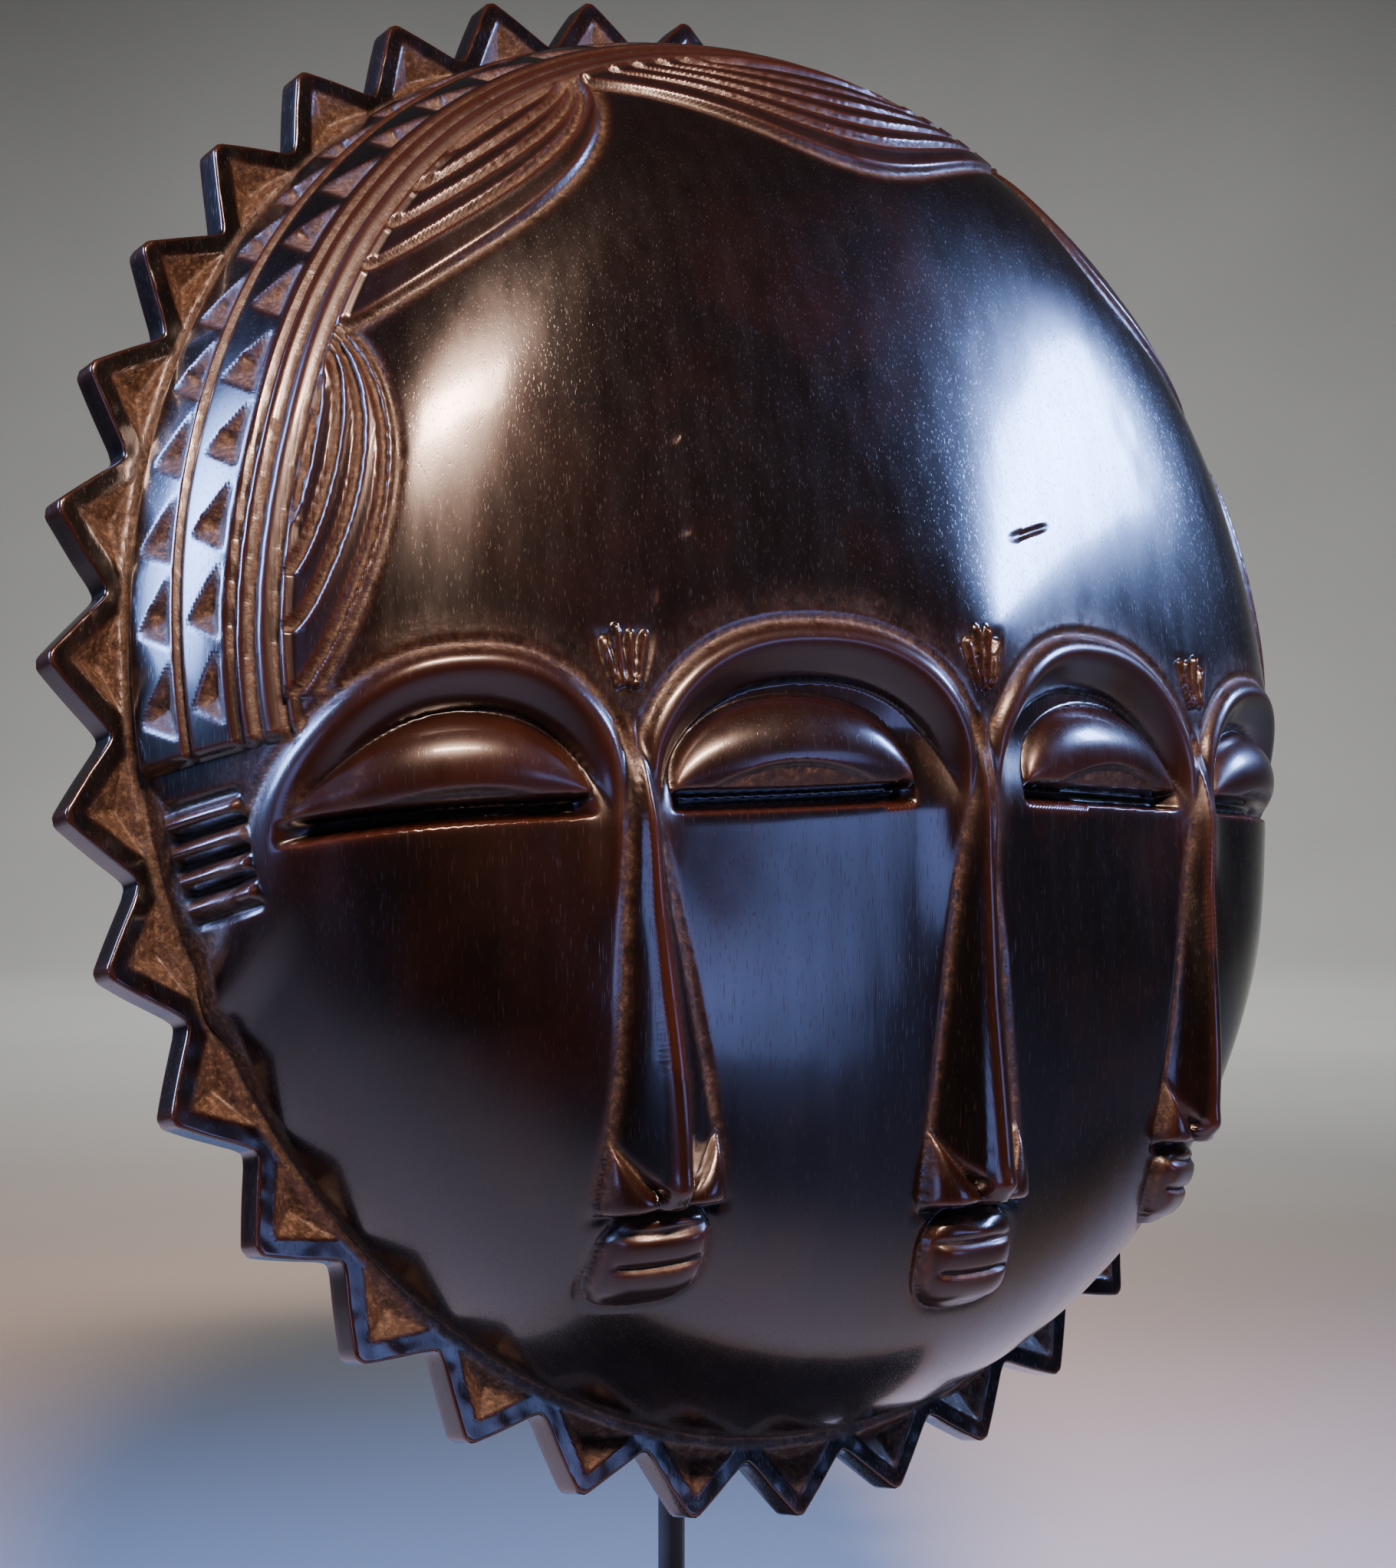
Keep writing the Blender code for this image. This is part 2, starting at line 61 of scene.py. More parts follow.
def hump(distance, half):
    # Bell of height 1: exp of minus the squared distance over the half width.
    return np.exp(-((distance / half) ** 2))


noiseTable = np.random.default_rng(7).random((32, 32, 32))


def noise(x, y, z):
    # Value noise from -1 to 1: a seeded lattice, blended with cubic steps along each axis.
    out = 0.0
    base = [np.floor(v).astype(int) for v in (x, y, z)]
    part = [v - b for v, b in zip((x, y, z), base)]
    part = [t * t * (3.0 - 2.0 * t) for t in part]
    for corner in range(8):
        weight, index = 1.0, []
        for axis in range(3):
            bit = (corner >> axis) & 1
            weight = weight * (part[axis] if bit else 1.0 - part[axis])
            index.append((base[axis] + bit) % 32)
        out = out + weight * noiseTable[index[0], index[1], index[2]]
    return 2.0 * out - 1.0


# The shell: a domed oval inside a flat toothed rim.
shell = {"tipHalfWidth": 0.959 * unit, "footRatio": 0.903, "rise": 0.454 * unit, "wall": 0.012,
         "flange": 0.0065, "columns": 1440, "teeth": 36, "toothPhase": 6.6, "valleyRatio": 0.933,
         "toothBlunt": 0.35}
halfWidth = shell["footRatio"] * shell["tipHalfWidth"]
halfHeight = shell["footRatio"] * unit


def rise(x, z):
    # Height over the rim plane: 1 - 0.355 cone, a softened cone of the elliptical radius, times a
    # fuller forehead, times a steep wall (1 - rho^9.77)^0.703 that begins earlier over the crown.
    rho = np.clip(np.hypot(x / halfWidth, z / halfHeight), 0.0, 1.0)
    cone = (rho**2 + 0.06**2) ** 0.412 - 0.06**0.824
    crown = np.clip(z / halfHeight, 0.0, 1.0) ** 4
    wall = np.clip(1.0 - rho ** (9.77 - 2.6 * crown), 0.0, 1.0) ** 0.703
    return shell["rise"] * (1.0 - 0.355 * cone) * (1.0 + 0.130 * z / halfHeight) * wall


def outward(x, z, e=0.0004):
    # Unit normal of the smooth shell from central differences of its height.
    hx = (rise(x + e, z) - rise(x - e, z)) / (2.0 * e)
    hz = (rise(x, z + e) - rise(x, z - e)) / (2.0 * e)
    n = np.stack([-hx, -np.ones_like(hx), -hz], -1)
    return n / np.linalg.norm(n, axis=-1, keepdims=True)


def crownLift(angle):
    # The hair lines climb up to 22% higher over the crown, as a bell of 28 degrees.
    return 1.0 + 0.22 * hump(angle - 90.0, 28.0)


def wallRho(angles, parts):
    # Elliptical radius of the shell points at a climb measured along the surface from its foot,
    # one row for each part and one column for each rim angle: the summed steps of the profile,
    # read backwards.
    radii = 1.0 - np.geomspace(1e-6, 1.0, 700)[::-1]
    x = halfWidth * radii * np.cos(np.radians(angles))[:, None]
    z = halfHeight * radii * np.sin(np.radians(angles))[:, None]
    h = rise(x, z)
    step = np.hypot(np.diff(np.hypot(x, z)), np.diff(h))[:, ::-1]
    along = np.concatenate([np.zeros((len(angles), 1)), np.cumsum(step, 1)], 1) + h[:, -1:]
    climb = parts * unit * crownLift(mirrored(angles))[:, None]
    return np.stack([np.interp(c, run, radii[::-1]) for c, run in zip(climb, along)], 1)


def mirrored(angle):
    # Rim angle measured both ways from the crown: 90 at the top, 270 at the chin.
    return 90.0 + np.abs((np.asarray(angle, float) - 90.0 + 180.0) % 360.0 - 180.0)


# The face. A scar is its place, length, half width, turn in degrees and depth; a petal fan is the
# middle and foot of the cusp that it stands on.
face = {"browFoot": -0.205, "browPower": 2.3, "browCrest": 0.0017, "socketDeep": 0.0056,
        "rollWide": 0.056,
        # An eye's rubbed share is the red on its lid: rubbed wear and in part painted warm light.
        "eyes": ({"middle": -0.642, "half": 0.172, "top": -0.003, "lidMiddle": -0.655,
                  "lidHalf": 0.141, "lidLow": -0.158, "lidTop": -0.060, "slit": (-0.74, -0.57, 0.011),
                  "rubbedAndLit": 0.70},
                 {"middle": -0.234, "half": 0.229, "top": 0.021, "lidMiddle": -0.255,
                  "lidHalf": 0.161, "lidLow": -0.157, "lidTop": -0.048, "slit": (-0.37, -0.15, 0.026),
                  "rubbedAndLit": 0.40}),
        "scars": ((0.128, 0.153, 0.055, 0.0034, 17.0, 0.0006), (-0.377, 0.239, 0.010, 0.002, 70.0, 0.0003),
                  (-0.380, 0.129, 0.008, 0.002, 20.0, 0.0003), (-0.427, 0.057, 0.012, 0.002, 80.0, 0.0003)),
        "petals": ((0.0, -0.052), (-0.468, -0.050)),
        "noses": ({"root": 0.0, "foot": 0.0, "tip": -0.632, "size": 1.0},
                  {"root": -0.468, "foot": -0.426, "tip": -0.592, "size": 0.84}),
        "mouths": ({"x": 0.0, "z": -0.700, "half": 0.072, "high": 0.056, "slit": -0.712},
                   {"x": -0.423, "z": -0.649, "half": 0.056, "high": 0.050, "slit": -0.652})}


def browGap(x, z, eye):
    # Signed distance to a brow line, a superellipse over its foot: (u^n + v^n)^(1/n) - 1 over its
    # own slope; negative inside the socket.
    n = face["browPower"]
    high = eye["top"] - face["browFoot"]
    u = np.abs(x - eye["middle"]) / eye["half"]
    v = np.maximum(z - face["browFoot"], 0.0) / high
    f = np.maximum((u**n + v**n) ** (1.0 / n), 1e-4)
    slope = np.sqrt(((u / f) ** (n - 1.0) / eye["half"]) ** 2 + ((v / f) ** (n - 1.0) / high) ** 2)
    return (f - 1.0) / np.maximum(slope, 1e-3)


def eyeForm(x, z, eye):
    # One lid: a convex crescent between an arched upper edge and a straight lower one, over a deep
    # narrow undercut. Up the lid its height is 7 mm (1 - ((v - 0.3) / 0.7)^2)^0.72 less what the
    # socket's floor has risen, and to its ends 0.13 + 0.87 bow^0.8 of that.
    c = (x - eye["lidMiddle"]) / eye["lidHalf"]
    bow = np.sqrt(np.clip(1.0 - c * c, 0.0, 1.0))
    top = eye["lidLow"] + (eye["lidTop"] - eye["lidLow"]) * bow**0.92
    v = (z - eye["lidLow"]) / np.maximum(top - eye["lidLow"], 1e-4)
    inside = (np.abs(c) < 1.0) * smooth(-0.0045, 0.0035, z - eye["lidLow"]) * (v < 1.0)
    upper = np.clip(1.0 - (np.maximum(v - 0.30, 0.0) / 0.70) ** 2, 0.0, 1.0) ** 0.72
    lower = 1.0 - 0.22 * (np.maximum(0.30 - v, 0.0) / 0.30) ** 2
    sunk = face["socketDeep"] * (1.0 - smooth(-0.195, -0.090, z))
    lid = (0.13 + 0.87 * bow**0.8) * np.maximum(0.0070 * upper * lower - sunk, 0.0) * inside
    left, right, high = eye["slit"]
    s = (x - 0.5 * (left + right)) / (0.5 * (right - left))
    arch = eye["lidLow"] + 0.004 + high * np.clip(1.0 - s * s, 0.0, 1.0)
    slit = smooth(0.0, 0.004, arch - z) * (np.abs(s) < 1.0) * smooth(0.000, 0.004, z - eye["lidLow"])
    lid = lid - 0.0011 * slit * np.clip(1.0 - s * s, 0.0, 1.0) ** 0.5
    up = z - eye["lidLow"]
    under = smooth(0.003, -0.005, up) * smooth(-0.023, -0.018, up) * smooth(1.04, 0.90, np.abs(c))
    corner = hump(np.abs(c) - 0.97, 0.07) * hump(z - eye["lidLow"] - 0.02, 0.025)
    return lid, inside, under, slit, corner


def noseForm(x, z, nose):
    # One nose: a rounded bar standing proud of two concave flanks, a wing on each side below a
    # slanting cut, and a square underside. Flank height over the face is 0.70 (1 - u)^1.5, u from
    # the bar to the foot; the bar is 1 - 0.30 (d / half width)^2.6.
    top = -0.085
    share = (z - top) / (nose["tip"] - top)
    axis = nose["root"] + (nose["foot"] - nose["root"]) * np.clip(share, 0.0, 1.1)
    zc = top + share * (-0.632 - top)
    size = nose["size"]
    half = size * np.interp(-zc, [0.085, 0.16, 0.2, 0.3, 0.35, 0.4, 0.45, 0.5, 0.55, 0.6, 0.635],
                            [0.012, 0.016, 0.022, 0.033, 0.041, 0.047, 0.054, 0.061, 0.069, 0.076, 0.078])
    high = size**1.3 * np.interp(-zc, [0.085, 0.16, 0.2, 0.3, 0.4, 0.45, 0.5, 0.55, 0.6, 0.632],
                                 [0.004, 0.013, 0.018, 0.027, 0.036, 0.043, 0.050, 0.057, 0.064, 0.066])
    d = np.abs(x - axis)
    bar = size * (0.008 + 0.009 * smooth(-0.10, -0.55, zc))
    u = np.clip((d - bar) / (half - bar), 0.0, 1.0)
    flank = 0.70 * high * (1.0 - u) ** 1.5
    ridge = high * np.clip(1.0 - 0.30 * (d / bar) ** 2.6, 0.0, 1.0) * (d < bar)
    tip = nose["tip"]
    ridge = ridge * (1.0 - 0.16 * smooth(tip + 0.020, tip, z))
    ridge = ridge + 0.004 * size * hump(z - tip - 0.020, 0.014) * (d < bar)
    s = d / np.maximum(half, 1e-4)
    arch = tip + size * (0.016 + 0.062 * np.clip(s, 0.0, 1.2) ** 1.5)
    wingClimb = np.clip((z - tip) / np.maximum(arch - tip, 1e-4), 0.0, 1.0)
    wing = 0.041 * size * np.sqrt(np.clip(1.0 - (np.abs(s - 0.52) / 0.53) ** 2, 0.0, 1.0))
    wing = wing * (1.0 - 0.60 * wingClimb**2)
    sides = smooth(arch - 0.003, arch + 0.004, z)
    body = np.maximum(ridge, flank * sides + wing * (1.0 - sides))
    cut = hump(z - arch, 0.0058) * smooth(0.20, 0.32, s) * smooth(1.05, 0.92, s)
    below = smooth(tip - 0.010, tip - 0.001, z)
    above = smooth(top - 0.012, top + 0.022, z)
    form = np.maximum(body - 0.0045 * size * cut, 0.0) * below * (1.0 - above)
    valley = hump(d - half - 0.003, 0.006) * smooth(tip - 0.01, tip + 0.02, z) * (1.0 - above)
    floor = hump(z - tip + 0.010, 0.008) * smooth(0.10 * size, 0.07 * size, d)
    onBar = smooth(1.25, 0.85, d / bar) * below * (1.0 - above)
    return form, valley, cut * below * smooth(-0.35, -0.5, z), floor, onBar


def mouthForm(x, z, mouth):
    # One mouth: a rounded block with a shallow upper part, a fold, two lips and a slit between
    # them. Its plan is the superellipse |u|^2.8 + |v|^2.8 = 1.
    u = np.abs(x - mouth["x"]) / mouth["half"]
    dz = (z - mouth["z"]) / mouth["high"]
    q = (u**2.8 + np.abs(dz) ** 2.8) ** (1.0 / 2.8)
    block = 0.023 * np.clip(1.0 - q**3.4, 0.0, 1.0) ** 0.5
    s = z - mouth["slit"] - 0.003 * u**2
    span = np.clip(1.0 - (u / 0.82) ** 5, 0.0, 1.0) ** 0.7
    upper = 0.0058 * np.clip(1.0 - ((s - 0.0150) / 0.0165) ** 2, 0.0, 1.0) ** 0.7 * span
    lower = 0.0080 * np.clip(1.0 - ((s + 0.0160) / 0.0185) ** 2, 0.0, 1.0) ** 0.7 * span
    fold = hump(s - 0.0325, 0.0035) * smooth(0.98, 0.75, u)
    philtrum = 0.006 * hump(u, 0.38) * hump(s - 0.044, 0.009)
    slit = hump(s, 0.0024) * smooth(0.80, 0.66, u)
    ledge = hump(s + 0.0035, 0.0022) * smooth(0.60, 0.30, u)
    form = block + (upper + lower + philtrum - 0.004 * fold - 0.007 * slit) * (q < 1.0)
    rim = hump(q - 1.02, 0.10)
    return form, fold * (q < 1.0), np.maximum(0.35 * slit, ledge), rim, (q < 1.0) * smooth(0.035, 0.025, s)


def faceRelief(x, z):
    # All forms of the face at points in parts of the unit, mirrored left and right with a small
    # carver's wander: brow crests as bells, sockets as a quarter round under them, then lids,
    # noses, mouths, petals and scars. Returns relief along the normal, relief to the viewer, dust
    # and red, which is rubbed wear and in part painted warm light.
    side = np.sign(x)
    wander = 0.0016 * noise(x * 5.0 + 3.0, z * 5.0 + 9.0, np.full_like(x, 4.5))
    xm = -np.abs(x) + wander * (side + 0.4)
    zm = z + 0.0022 * noise(x * 4.0 + 11.0, z * 4.0, np.full_like(x, 8.5))
    patchy = 0.62 + 0.38 * noise(x * 34.0, z * 34.0, np.full_like(x, 3.5))
    patchy = np.clip(patchy + 0.35 * noise(x * 110.0, z * 110.0, np.full_like(x, 5.5)), 0.0, 1.0)
    gap = np.minimum(browGap(xm, zm, face["eyes"][0]), browGap(xm, zm, face["eyes"][1]))
    gap = np.where(xm < -0.80, gap + (-0.80 - xm) * 0.15, gap)
    fade = smooth(-0.195, -0.090, zm)
    upperCheek = smooth(-0.40, -0.19, zm) * (1.0 - fade)
    ends = smooth(-0.30, -0.17, zm + 0.25 * smooth(-0.76, -0.84, xm))
    inward = np.clip(-gap / (face["rollWide"] * (0.45 + 0.55 * smooth(-0.19, -0.03, zm))), 0.0, 1.0)
    roll = 0.22 * inward**1.3 + 0.78 * (1.0 - np.sqrt(1.0 - np.minimum(inward, 0.99) ** 2))
    along = face["browCrest"] * hump(gap + 0.013, 0.019) * ends
    floorLevel = face["socketDeep"] * fade
    socket = -floorLevel * roll
    along = along - 0.0014 * smooth(-0.004, -0.090, gap) * upperCheek
    along = along - 0.0008 * hump(gap - 0.011, 0.0065) * ends
    dust = 0.75 * hump(gap - 0.011, 0.0062) * ends
    dust = np.maximum(dust, 0.20 * hump(gap - 0.026, 0.020) * ends * patchy)
    dust = np.maximum(dust, 0.40 * hump(gap + 0.050, 0.012) * smooth(-0.09, -0.13, zm) * fade * patchy)
    # The red on the brow band fades towards the bottom. It is rubbed wear and in part painted warm light.
    red = smooth(0.002, -0.006, gap) * smooth(-0.066, -0.040, gap) * smooth(-0.30, -0.16, zm) * 0.65
    for eye in face["eyes"]:
        lid, inside, under, slit, corner = eyeForm(xm, zm, eye)
        socket = np.maximum(socket, lid - floorLevel)
        along = along - 0.0036 * under
        dust = np.maximum(dust, 0.60 * slit * patchy)
        dust = np.maximum(dust, 0.40 * corner * inside * patchy)
        # The red on each lid is rubbed wear and in part painted warm light.
        red = np.maximum(red, eye["rubbedAndLit"] * inside)
    along = along + socket
    toViewer = np.zeros_like(x)
    for nose in face["noses"]:
        form, valley, cut, floor, onBar = noseForm(xm, zm, nose)
        toViewer = np.maximum(toViewer, form * unit)
        along = along - 0.0004 * valley - 0.0007 * floor
        dust = np.maximum(dust, np.maximum(0.9 * valley * smooth(-0.12, -0.22, zm) * patchy, 0.6 * cut))
        dust = np.maximum(dust, 0.35 * floor * patchy)
        red = np.maximum(red, 0.22 * onBar)
    for mouth in face["mouths"]:
        form, fold, slit, rim, lips = mouthForm(xm, zm, mouth)
        toViewer = np.maximum(toViewer, form * unit)
        along = along - 0.0005 * rim * (form <= 0.0)
        dust = np.maximum(dust, np.maximum(0.75 * fold * patchy, np.maximum(0.8 * slit, 0.5 * rim * patchy)))
        red = np.maximum(red, 0.7 * lips)
    for middle, foot in face["petals"]:
        climb = np.clip((zm - foot) / 0.078, 0.0, 1.0)
        fan = (xm - middle) / (0.30 + 0.70 * climb**0.8)
        up = zm - foot
        bed = smooth(0.046, 0.034, np.abs(fan)) * smooth(0.0, 0.030, up) * smooth(0.082, 0.045, up)
        along = along - 0.0008 * bed
        dust = np.maximum(dust, 0.45 * bed)
        for k in (-1.5, -0.5, 0.5, 1.5):
            length = 0.074 - 0.007 * abs(k) + 0.004 * math.sin(9.0 * k + 40.0 * middle)
            t = np.clip((up - 0.002) / length, 0.0, 1.0)
            wide = 0.0092 * np.sin(math.pi * t) ** 0.6
            petal = np.clip(1.0 - (np.abs(fan - 0.0185 * k) / np.maximum(wide, 1e-4)) ** 2, 0.0, 1.0)
            petal = petal * (t > 0.0) * (t < 1.0)
            along = along + 0.0015 * petal
            dust = dust * (1.0 - smooth(0.25, 0.7, petal))
    for sx, sz, length, wide, turn, deep in face["scars"]:
        c, s = math.cos(math.radians(turn)), math.sin(math.radians(turn))
        run, across = (x - sx) * c + (z - sz) * s, (z - sz) * c - (x - sx) * s
        mark = hump(across, wide) * smooth(length, 0.4 * length, np.abs(run))
        along = along - deep * mark
        dust = np.maximum(dust, 0.5 * mark * patchy)
    return along, toViewer, dust, red


# The hair. A lobe is its first and last rim angle, base, height and number of strands.
hair = {"bandEnd": 184.4, "pits": 30, "pitFirst": 180.4, "pitHalf": 2.75, "pitDeep": 0.0026,
        "rows": ((0.032, 0.087), (0.117, 0.172)),
        "lobes": ((182.0, 152.5, 0.246, 0.098, 4), (152.5, 116.3, 0.250, 0.132, 5),
                  (116.3, 63.7, 0.255, 0.150, 6)),
        "stripDepth": 0.0010, "groove": (0.0021, 0.0012), "temple": (188.6, 2.0, 4)}
# Climb of the border's lines and their height: two bands, two fine grooves and two ridges.
borderLine = np.array([[0.000, 0.0], [0.009, -0.2], [0.014, 0.5], [0.018, 1.1], [0.030, 1.25],
                       [0.088, 1.2], [0.0925, 1.0], [0.0955, -0.35], [0.1005, -0.35], [0.1035, 1.0],
                       [0.108, 1.25], [0.179, 1.2], [0.1835, 1.0], [0.187, -0.2], [0.190, -0.2],
                       [0.1935, 1.0], [0.200, 1.15], [0.2045, 0.6], [0.209, -0.5], [0.2135, -0.4],
                       [0.219, 0.9], [0.228, 1.25], [0.236, 0.9], [0.240, -0.3], [0.244, -0.3],
                       [0.2475, 0.7], [0.252, 0.9], [0.258, 0.0]])


def chipPit(across, climb, half, low, high, apex, deepAt):
    # Three-sided chip cut, the smallest of three planes: each is the distance from one side over
    # the deep point's own distance from it. Corners (-half, high), (half, high), (apex half, low).
    deepAcross, deepClimb = deepAt[0] * half, low + deepAt[1] * (high - low)

    def fromSide(corner, px, pz):
        return (corner - apex * half) * (pz - low) - (high - low) * (px - apex * half)

    left = fromSide(-half, across, climb) / fromSide(-half, deepAcross, deepClimb)
    right = fromSide(half, across, climb) / fromSide(half, deepAcross, deepClimb)
    base = (high - climb) / (high - deepClimb)
    return np.clip(np.minimum(np.minimum(left, right), base), 0.0, 1.0)


def hairRelief(angle, part):
    # Border bands, chip cuts, ridges, lobes and temple ridges at rim angles in degrees and climbs
    # in parts of the unit. A lobe's strand k follows base + height share (1 - s^2)^0.72, and its
    # groove lies just inside that line. Returns relief along the normal, dust and red, which is
    # rubbed wear and in part painted warm light.
    t = mirrored(angle)
    wander = 0.0010 * noise(np.asarray(angle) * 0.09, part * 9.0, np.full_like(part, 2.5))
    temple = smooth(158.0, 183.0, t)
    p = part + wander
    q = np.where(p > 0.10, p + 0.020 * temple * smooth(0.10, 0.165, p), p)
    on = smooth(hair["bandEnd"] + 0.5, hair["bandEnd"] - 0.1, t)
    line = np.interp(q, borderLine[:, 0], borderLine[:, 1]) * 0.001
    step = smooth(0.004, 0.015, p) * smooth(0.236, 0.225, q)
    relief = line * on + 0.0006 * on * step
    low = (line < 0.0003) & (q > 0.004) & (q < 0.256)
    dust = on * np.where(low, 0.9, 0.0)
    # Red on the border and on the lifted strips is rubbed wear and in part painted warm light.
    red = 0.7 * on * smooth(0.200, 0.212, q) * smooth(0.262, 0.25, q)
    pitch = (2.0 * hair["pitFirst"] - 180.0) / (hair["pits"] - 1)
    index = np.clip(np.round((hair["pitFirst"] - t) / pitch), 0, hair["pits"] - 1)
    away = np.radians(t - hair["pitFirst"] + index * pitch) * 0.90
    half = math.radians(hair["pitHalf"]) * 0.90
    for row, (rowLow, rowHigh) in enumerate(hair["rows"]):
        jitter = 0.0022 * np.sin(index * 2.3 + row * 1.7)
        pit = chipPit(away + jitter, q, half, rowLow + jitter, rowHigh, 0.42, (0.07, 0.56))
        chance = noiseTable[index.astype(int) % 32, row, 5]
        nick = hump(away + 0.010 - 0.012 * chance, 0.0045) * hump(q - rowHigh + 0.024 + 0.01 * chance, 0.0045)
        relief = relief - on * (hair["pitDeep"] * pit + 0.0010 * nick * (pit > 0.0) * (chance > 0.35))
        dust = np.maximum(dust, on * smooth(0.02, 0.16, pit))
    grooveWide, grooveDeep = hair["groove"]
    tickle = 0.00020 * noise(np.asarray(t) * 1.9, part * 60.0, np.full_like(part, 6.5))
    for start, end, base, height, count in hair["lobes"]:
        middle, halfArc = 0.5 * (start + end), 0.5 * (start - end)
        crown = middle < 95.0
        if crown:
            middle, halfArc = 90.0, 26.3
        sides = (np.asarray(t) - middle) / halfArc
        skewed = sides if crown else sides + 0.13 * (1.0 - sides * sides)
        inLobe = np.abs(sides) <= 1.0
        for k in range(count):
            share = 1.0 - k / (count - 0.5)
            halfRun = 0.45 + 0.55 * share
            s = np.clip((skewed + (0.0 if crown else 0.09 * k)) / halfRun, -1.0, 1.0)
            bow = np.clip(1.0 - s * s, 0.0, 1.0)
            line = base + height * share * bow**0.72
            d = (line - p) * unit * crownLift(t)
            slope = height * share * 1.44 * np.abs(s) * np.maximum(bow, 0.012) ** -0.28 / (halfRun * halfArc)
            d = d / np.sqrt(1.0 + (slope * unit * crownLift(t) / 0.0026) ** 2)
            above = inLobe * (q > 0.249) * (bow > 0.0)
            if k == 0:
                lift = smooth(-0.0004, 0.0010, d) * smooth(0.238, 0.246, q) * inLobe
                relief = relief + hair["stripDepth"] * lift
                edge = hump(d + 0.0009, 0.0009) * (p > base - 0.02) * inLobe
                relief = relief - 0.00040 * edge
                dust = np.maximum(dust, 0.75 * edge * (q > 0.250))
                red = np.maximum(red, 0.55 * lift)
            if k > 0 or middle > 160.0:
                inset = d - 0.0004 - tickle
                groove = smooth(0.0, 0.0007, inset) * smooth(grooveWide, grooveWide - 0.0007, inset) * above
                crest = hump(d + 0.0001, 0.0005) * above
                relief = relief - grooveDeep * groove + 0.00022 * crest
                dust = np.maximum(dust, 0.95 * smooth(0.35, 0.9, groove))
    first, pitchT, count = hair["temple"]
    for k in range(count):
        centre = first + pitchT * k
        d = np.radians(t - centre) * 0.97
        run = smooth(0.030, 0.042, p) * smooth(0.150, 0.140, p)
        ridge = hump(d, 0.0085)
        relief = relief + 0.0016 * ridge * run
        edge = hump(np.abs(d) - 0.017, 0.005) * run
        relief = relief - 0.0014 * edge
        dust = np.maximum(dust, 0.8 * edge)
    dusty = smooth(0.016, 0.004, p - 0.030 * smooth(184.6, 188.0, t) * smooth(220.0, 196.0, t))
    dust = np.maximum(dust, 0.85 * dusty)
    return relief, dust, red


# The skin: one shared set of points, so that its pieces meet without a step. A step of the edge is
# its inset and its depth behind the rim's front, in metres.
skin = {"borderParts": np.linspace(0.0, 0.246, 68), "lobeParts": np.linspace(0.246, 0.430, 62),
        "frontSteps": 22, "edge": ((0.00055, 0.0), (0.00015, 0.00017), (0.0, 0.00055), (0.0, 0.0024),
                                   (0.0, 0.0042), (0.0, 0.00595), (0.00015, 0.00633), (0.00055, 0.0065)),
        "backSteps": 9, "pit": (3.6, 0.917, 0.930, 0.974, 0.0036)}
columns = shell["columns"]
angles = shell["toothPhase"] + 360.0 * np.arange(columns) / columns
cosA, sinA = np.cos(np.radians(angles)), np.sin(np.radians(angles))


def dressed(x, z, relief, toViewer):
    # Lifts shell points by their relief along the normal and by the noses and mouths to the viewer.
    normal = outward(x, z)
    facing = normal + np.array([0.0, -0.6, 0.0])
    facing = facing / np.linalg.norm(facing, axis=-1, keepdims=True)
    base = np.stack([x, -rise(x, z), z], -1)
    return base + normal * relief[..., None] + facing * toViewer[..., None]


def hand(x, z):
    # The carver's surface is never true: slow waves of 0.14 mm and finer ones of 0.03 mm.
    slow = noise(x * 42.0 + 5.0, z * 30.0 + 2.0, np.full_like(x, 1.5))
    fine = noise(x * 170.0, z * 110.0, np.full_like(x, 6.5))
    return 0.00014 * slow + 0.00003 * fine


def ringZone(parts):
    # Rings of skin at climbs up the wall: the shell's points there, lifted by hair and face relief.
    rho = wallRho(angles, parts)
    x, z = halfWidth * rho * cosA, halfHeight * rho * sinA
    grid = np.broadcast_to(np.asarray(parts)[:, None], rho.shape)
    turn = np.broadcast_to(angles[None, :], rho.shape)
    hairLift, hairDust, hairRed = hairRelief(turn, grid)
    faceLift, toViewer, faceDust, faceRed = faceRelief(x / unit, z / unit)
    under = smooth(0.0, 0.02, hairDust + np.abs(hairLift) * 1000.0)
    faceLift = faceLift * (1.0 - under * (mirrored(turn) < 184.0))
    faceDust = faceDust * (1.0 - under * (mirrored(turn) < 184.0))
    lift = hairLift + faceLift + hand(x, z) * smooth(0.0, 0.03, grid)
    return dressed(x, z, lift, toViewer), np.maximum(hairDust, faceDust), np.maximum(hairRed, faceRed), rho


def roundGrid(quarter):
    # Square grid bent to a round one: the larger coordinate is the radius, and the ratio of the two
    # the angle in degrees, so the outline has even points and the middle has no pole.
    a, b = np.meshgrid(*[np.linspace(-1.0, 1.0, quarter + 1)] * 2, indexing="ij")
    radius = np.maximum(np.abs(a), np.abs(b))
    big = np.where(radius > 0.0, radius, 1.0)
    turn = np.where(np.abs(a) >= np.abs(b), np.where(a >= 0.0, 45.0 * b / big, 180.0 - 45.0 * b / big),
                    np.where(b >= 0.0, 90.0 - 45.0 * a / big, 270.0 + 45.0 * a / big))
    return radius, turn


def disc(rhoEdge):
    # The round grid inside the innermost ring, scaled so that its outline is that ring.
    radius, turn = roundGrid(columns // 4)
    column = (turn / 360.0 * columns) % columns
    edge = np.interp(column, np.arange(columns + 1), np.append(rhoEdge, rhoEdge[0]))
    angle = np.radians(shell["toothPhase"] + turn)
    x, z = halfWidth * edge * radius * np.cos(angle), halfHeight * edge * radius * np.sin(angle)
    return radius, column, x, z


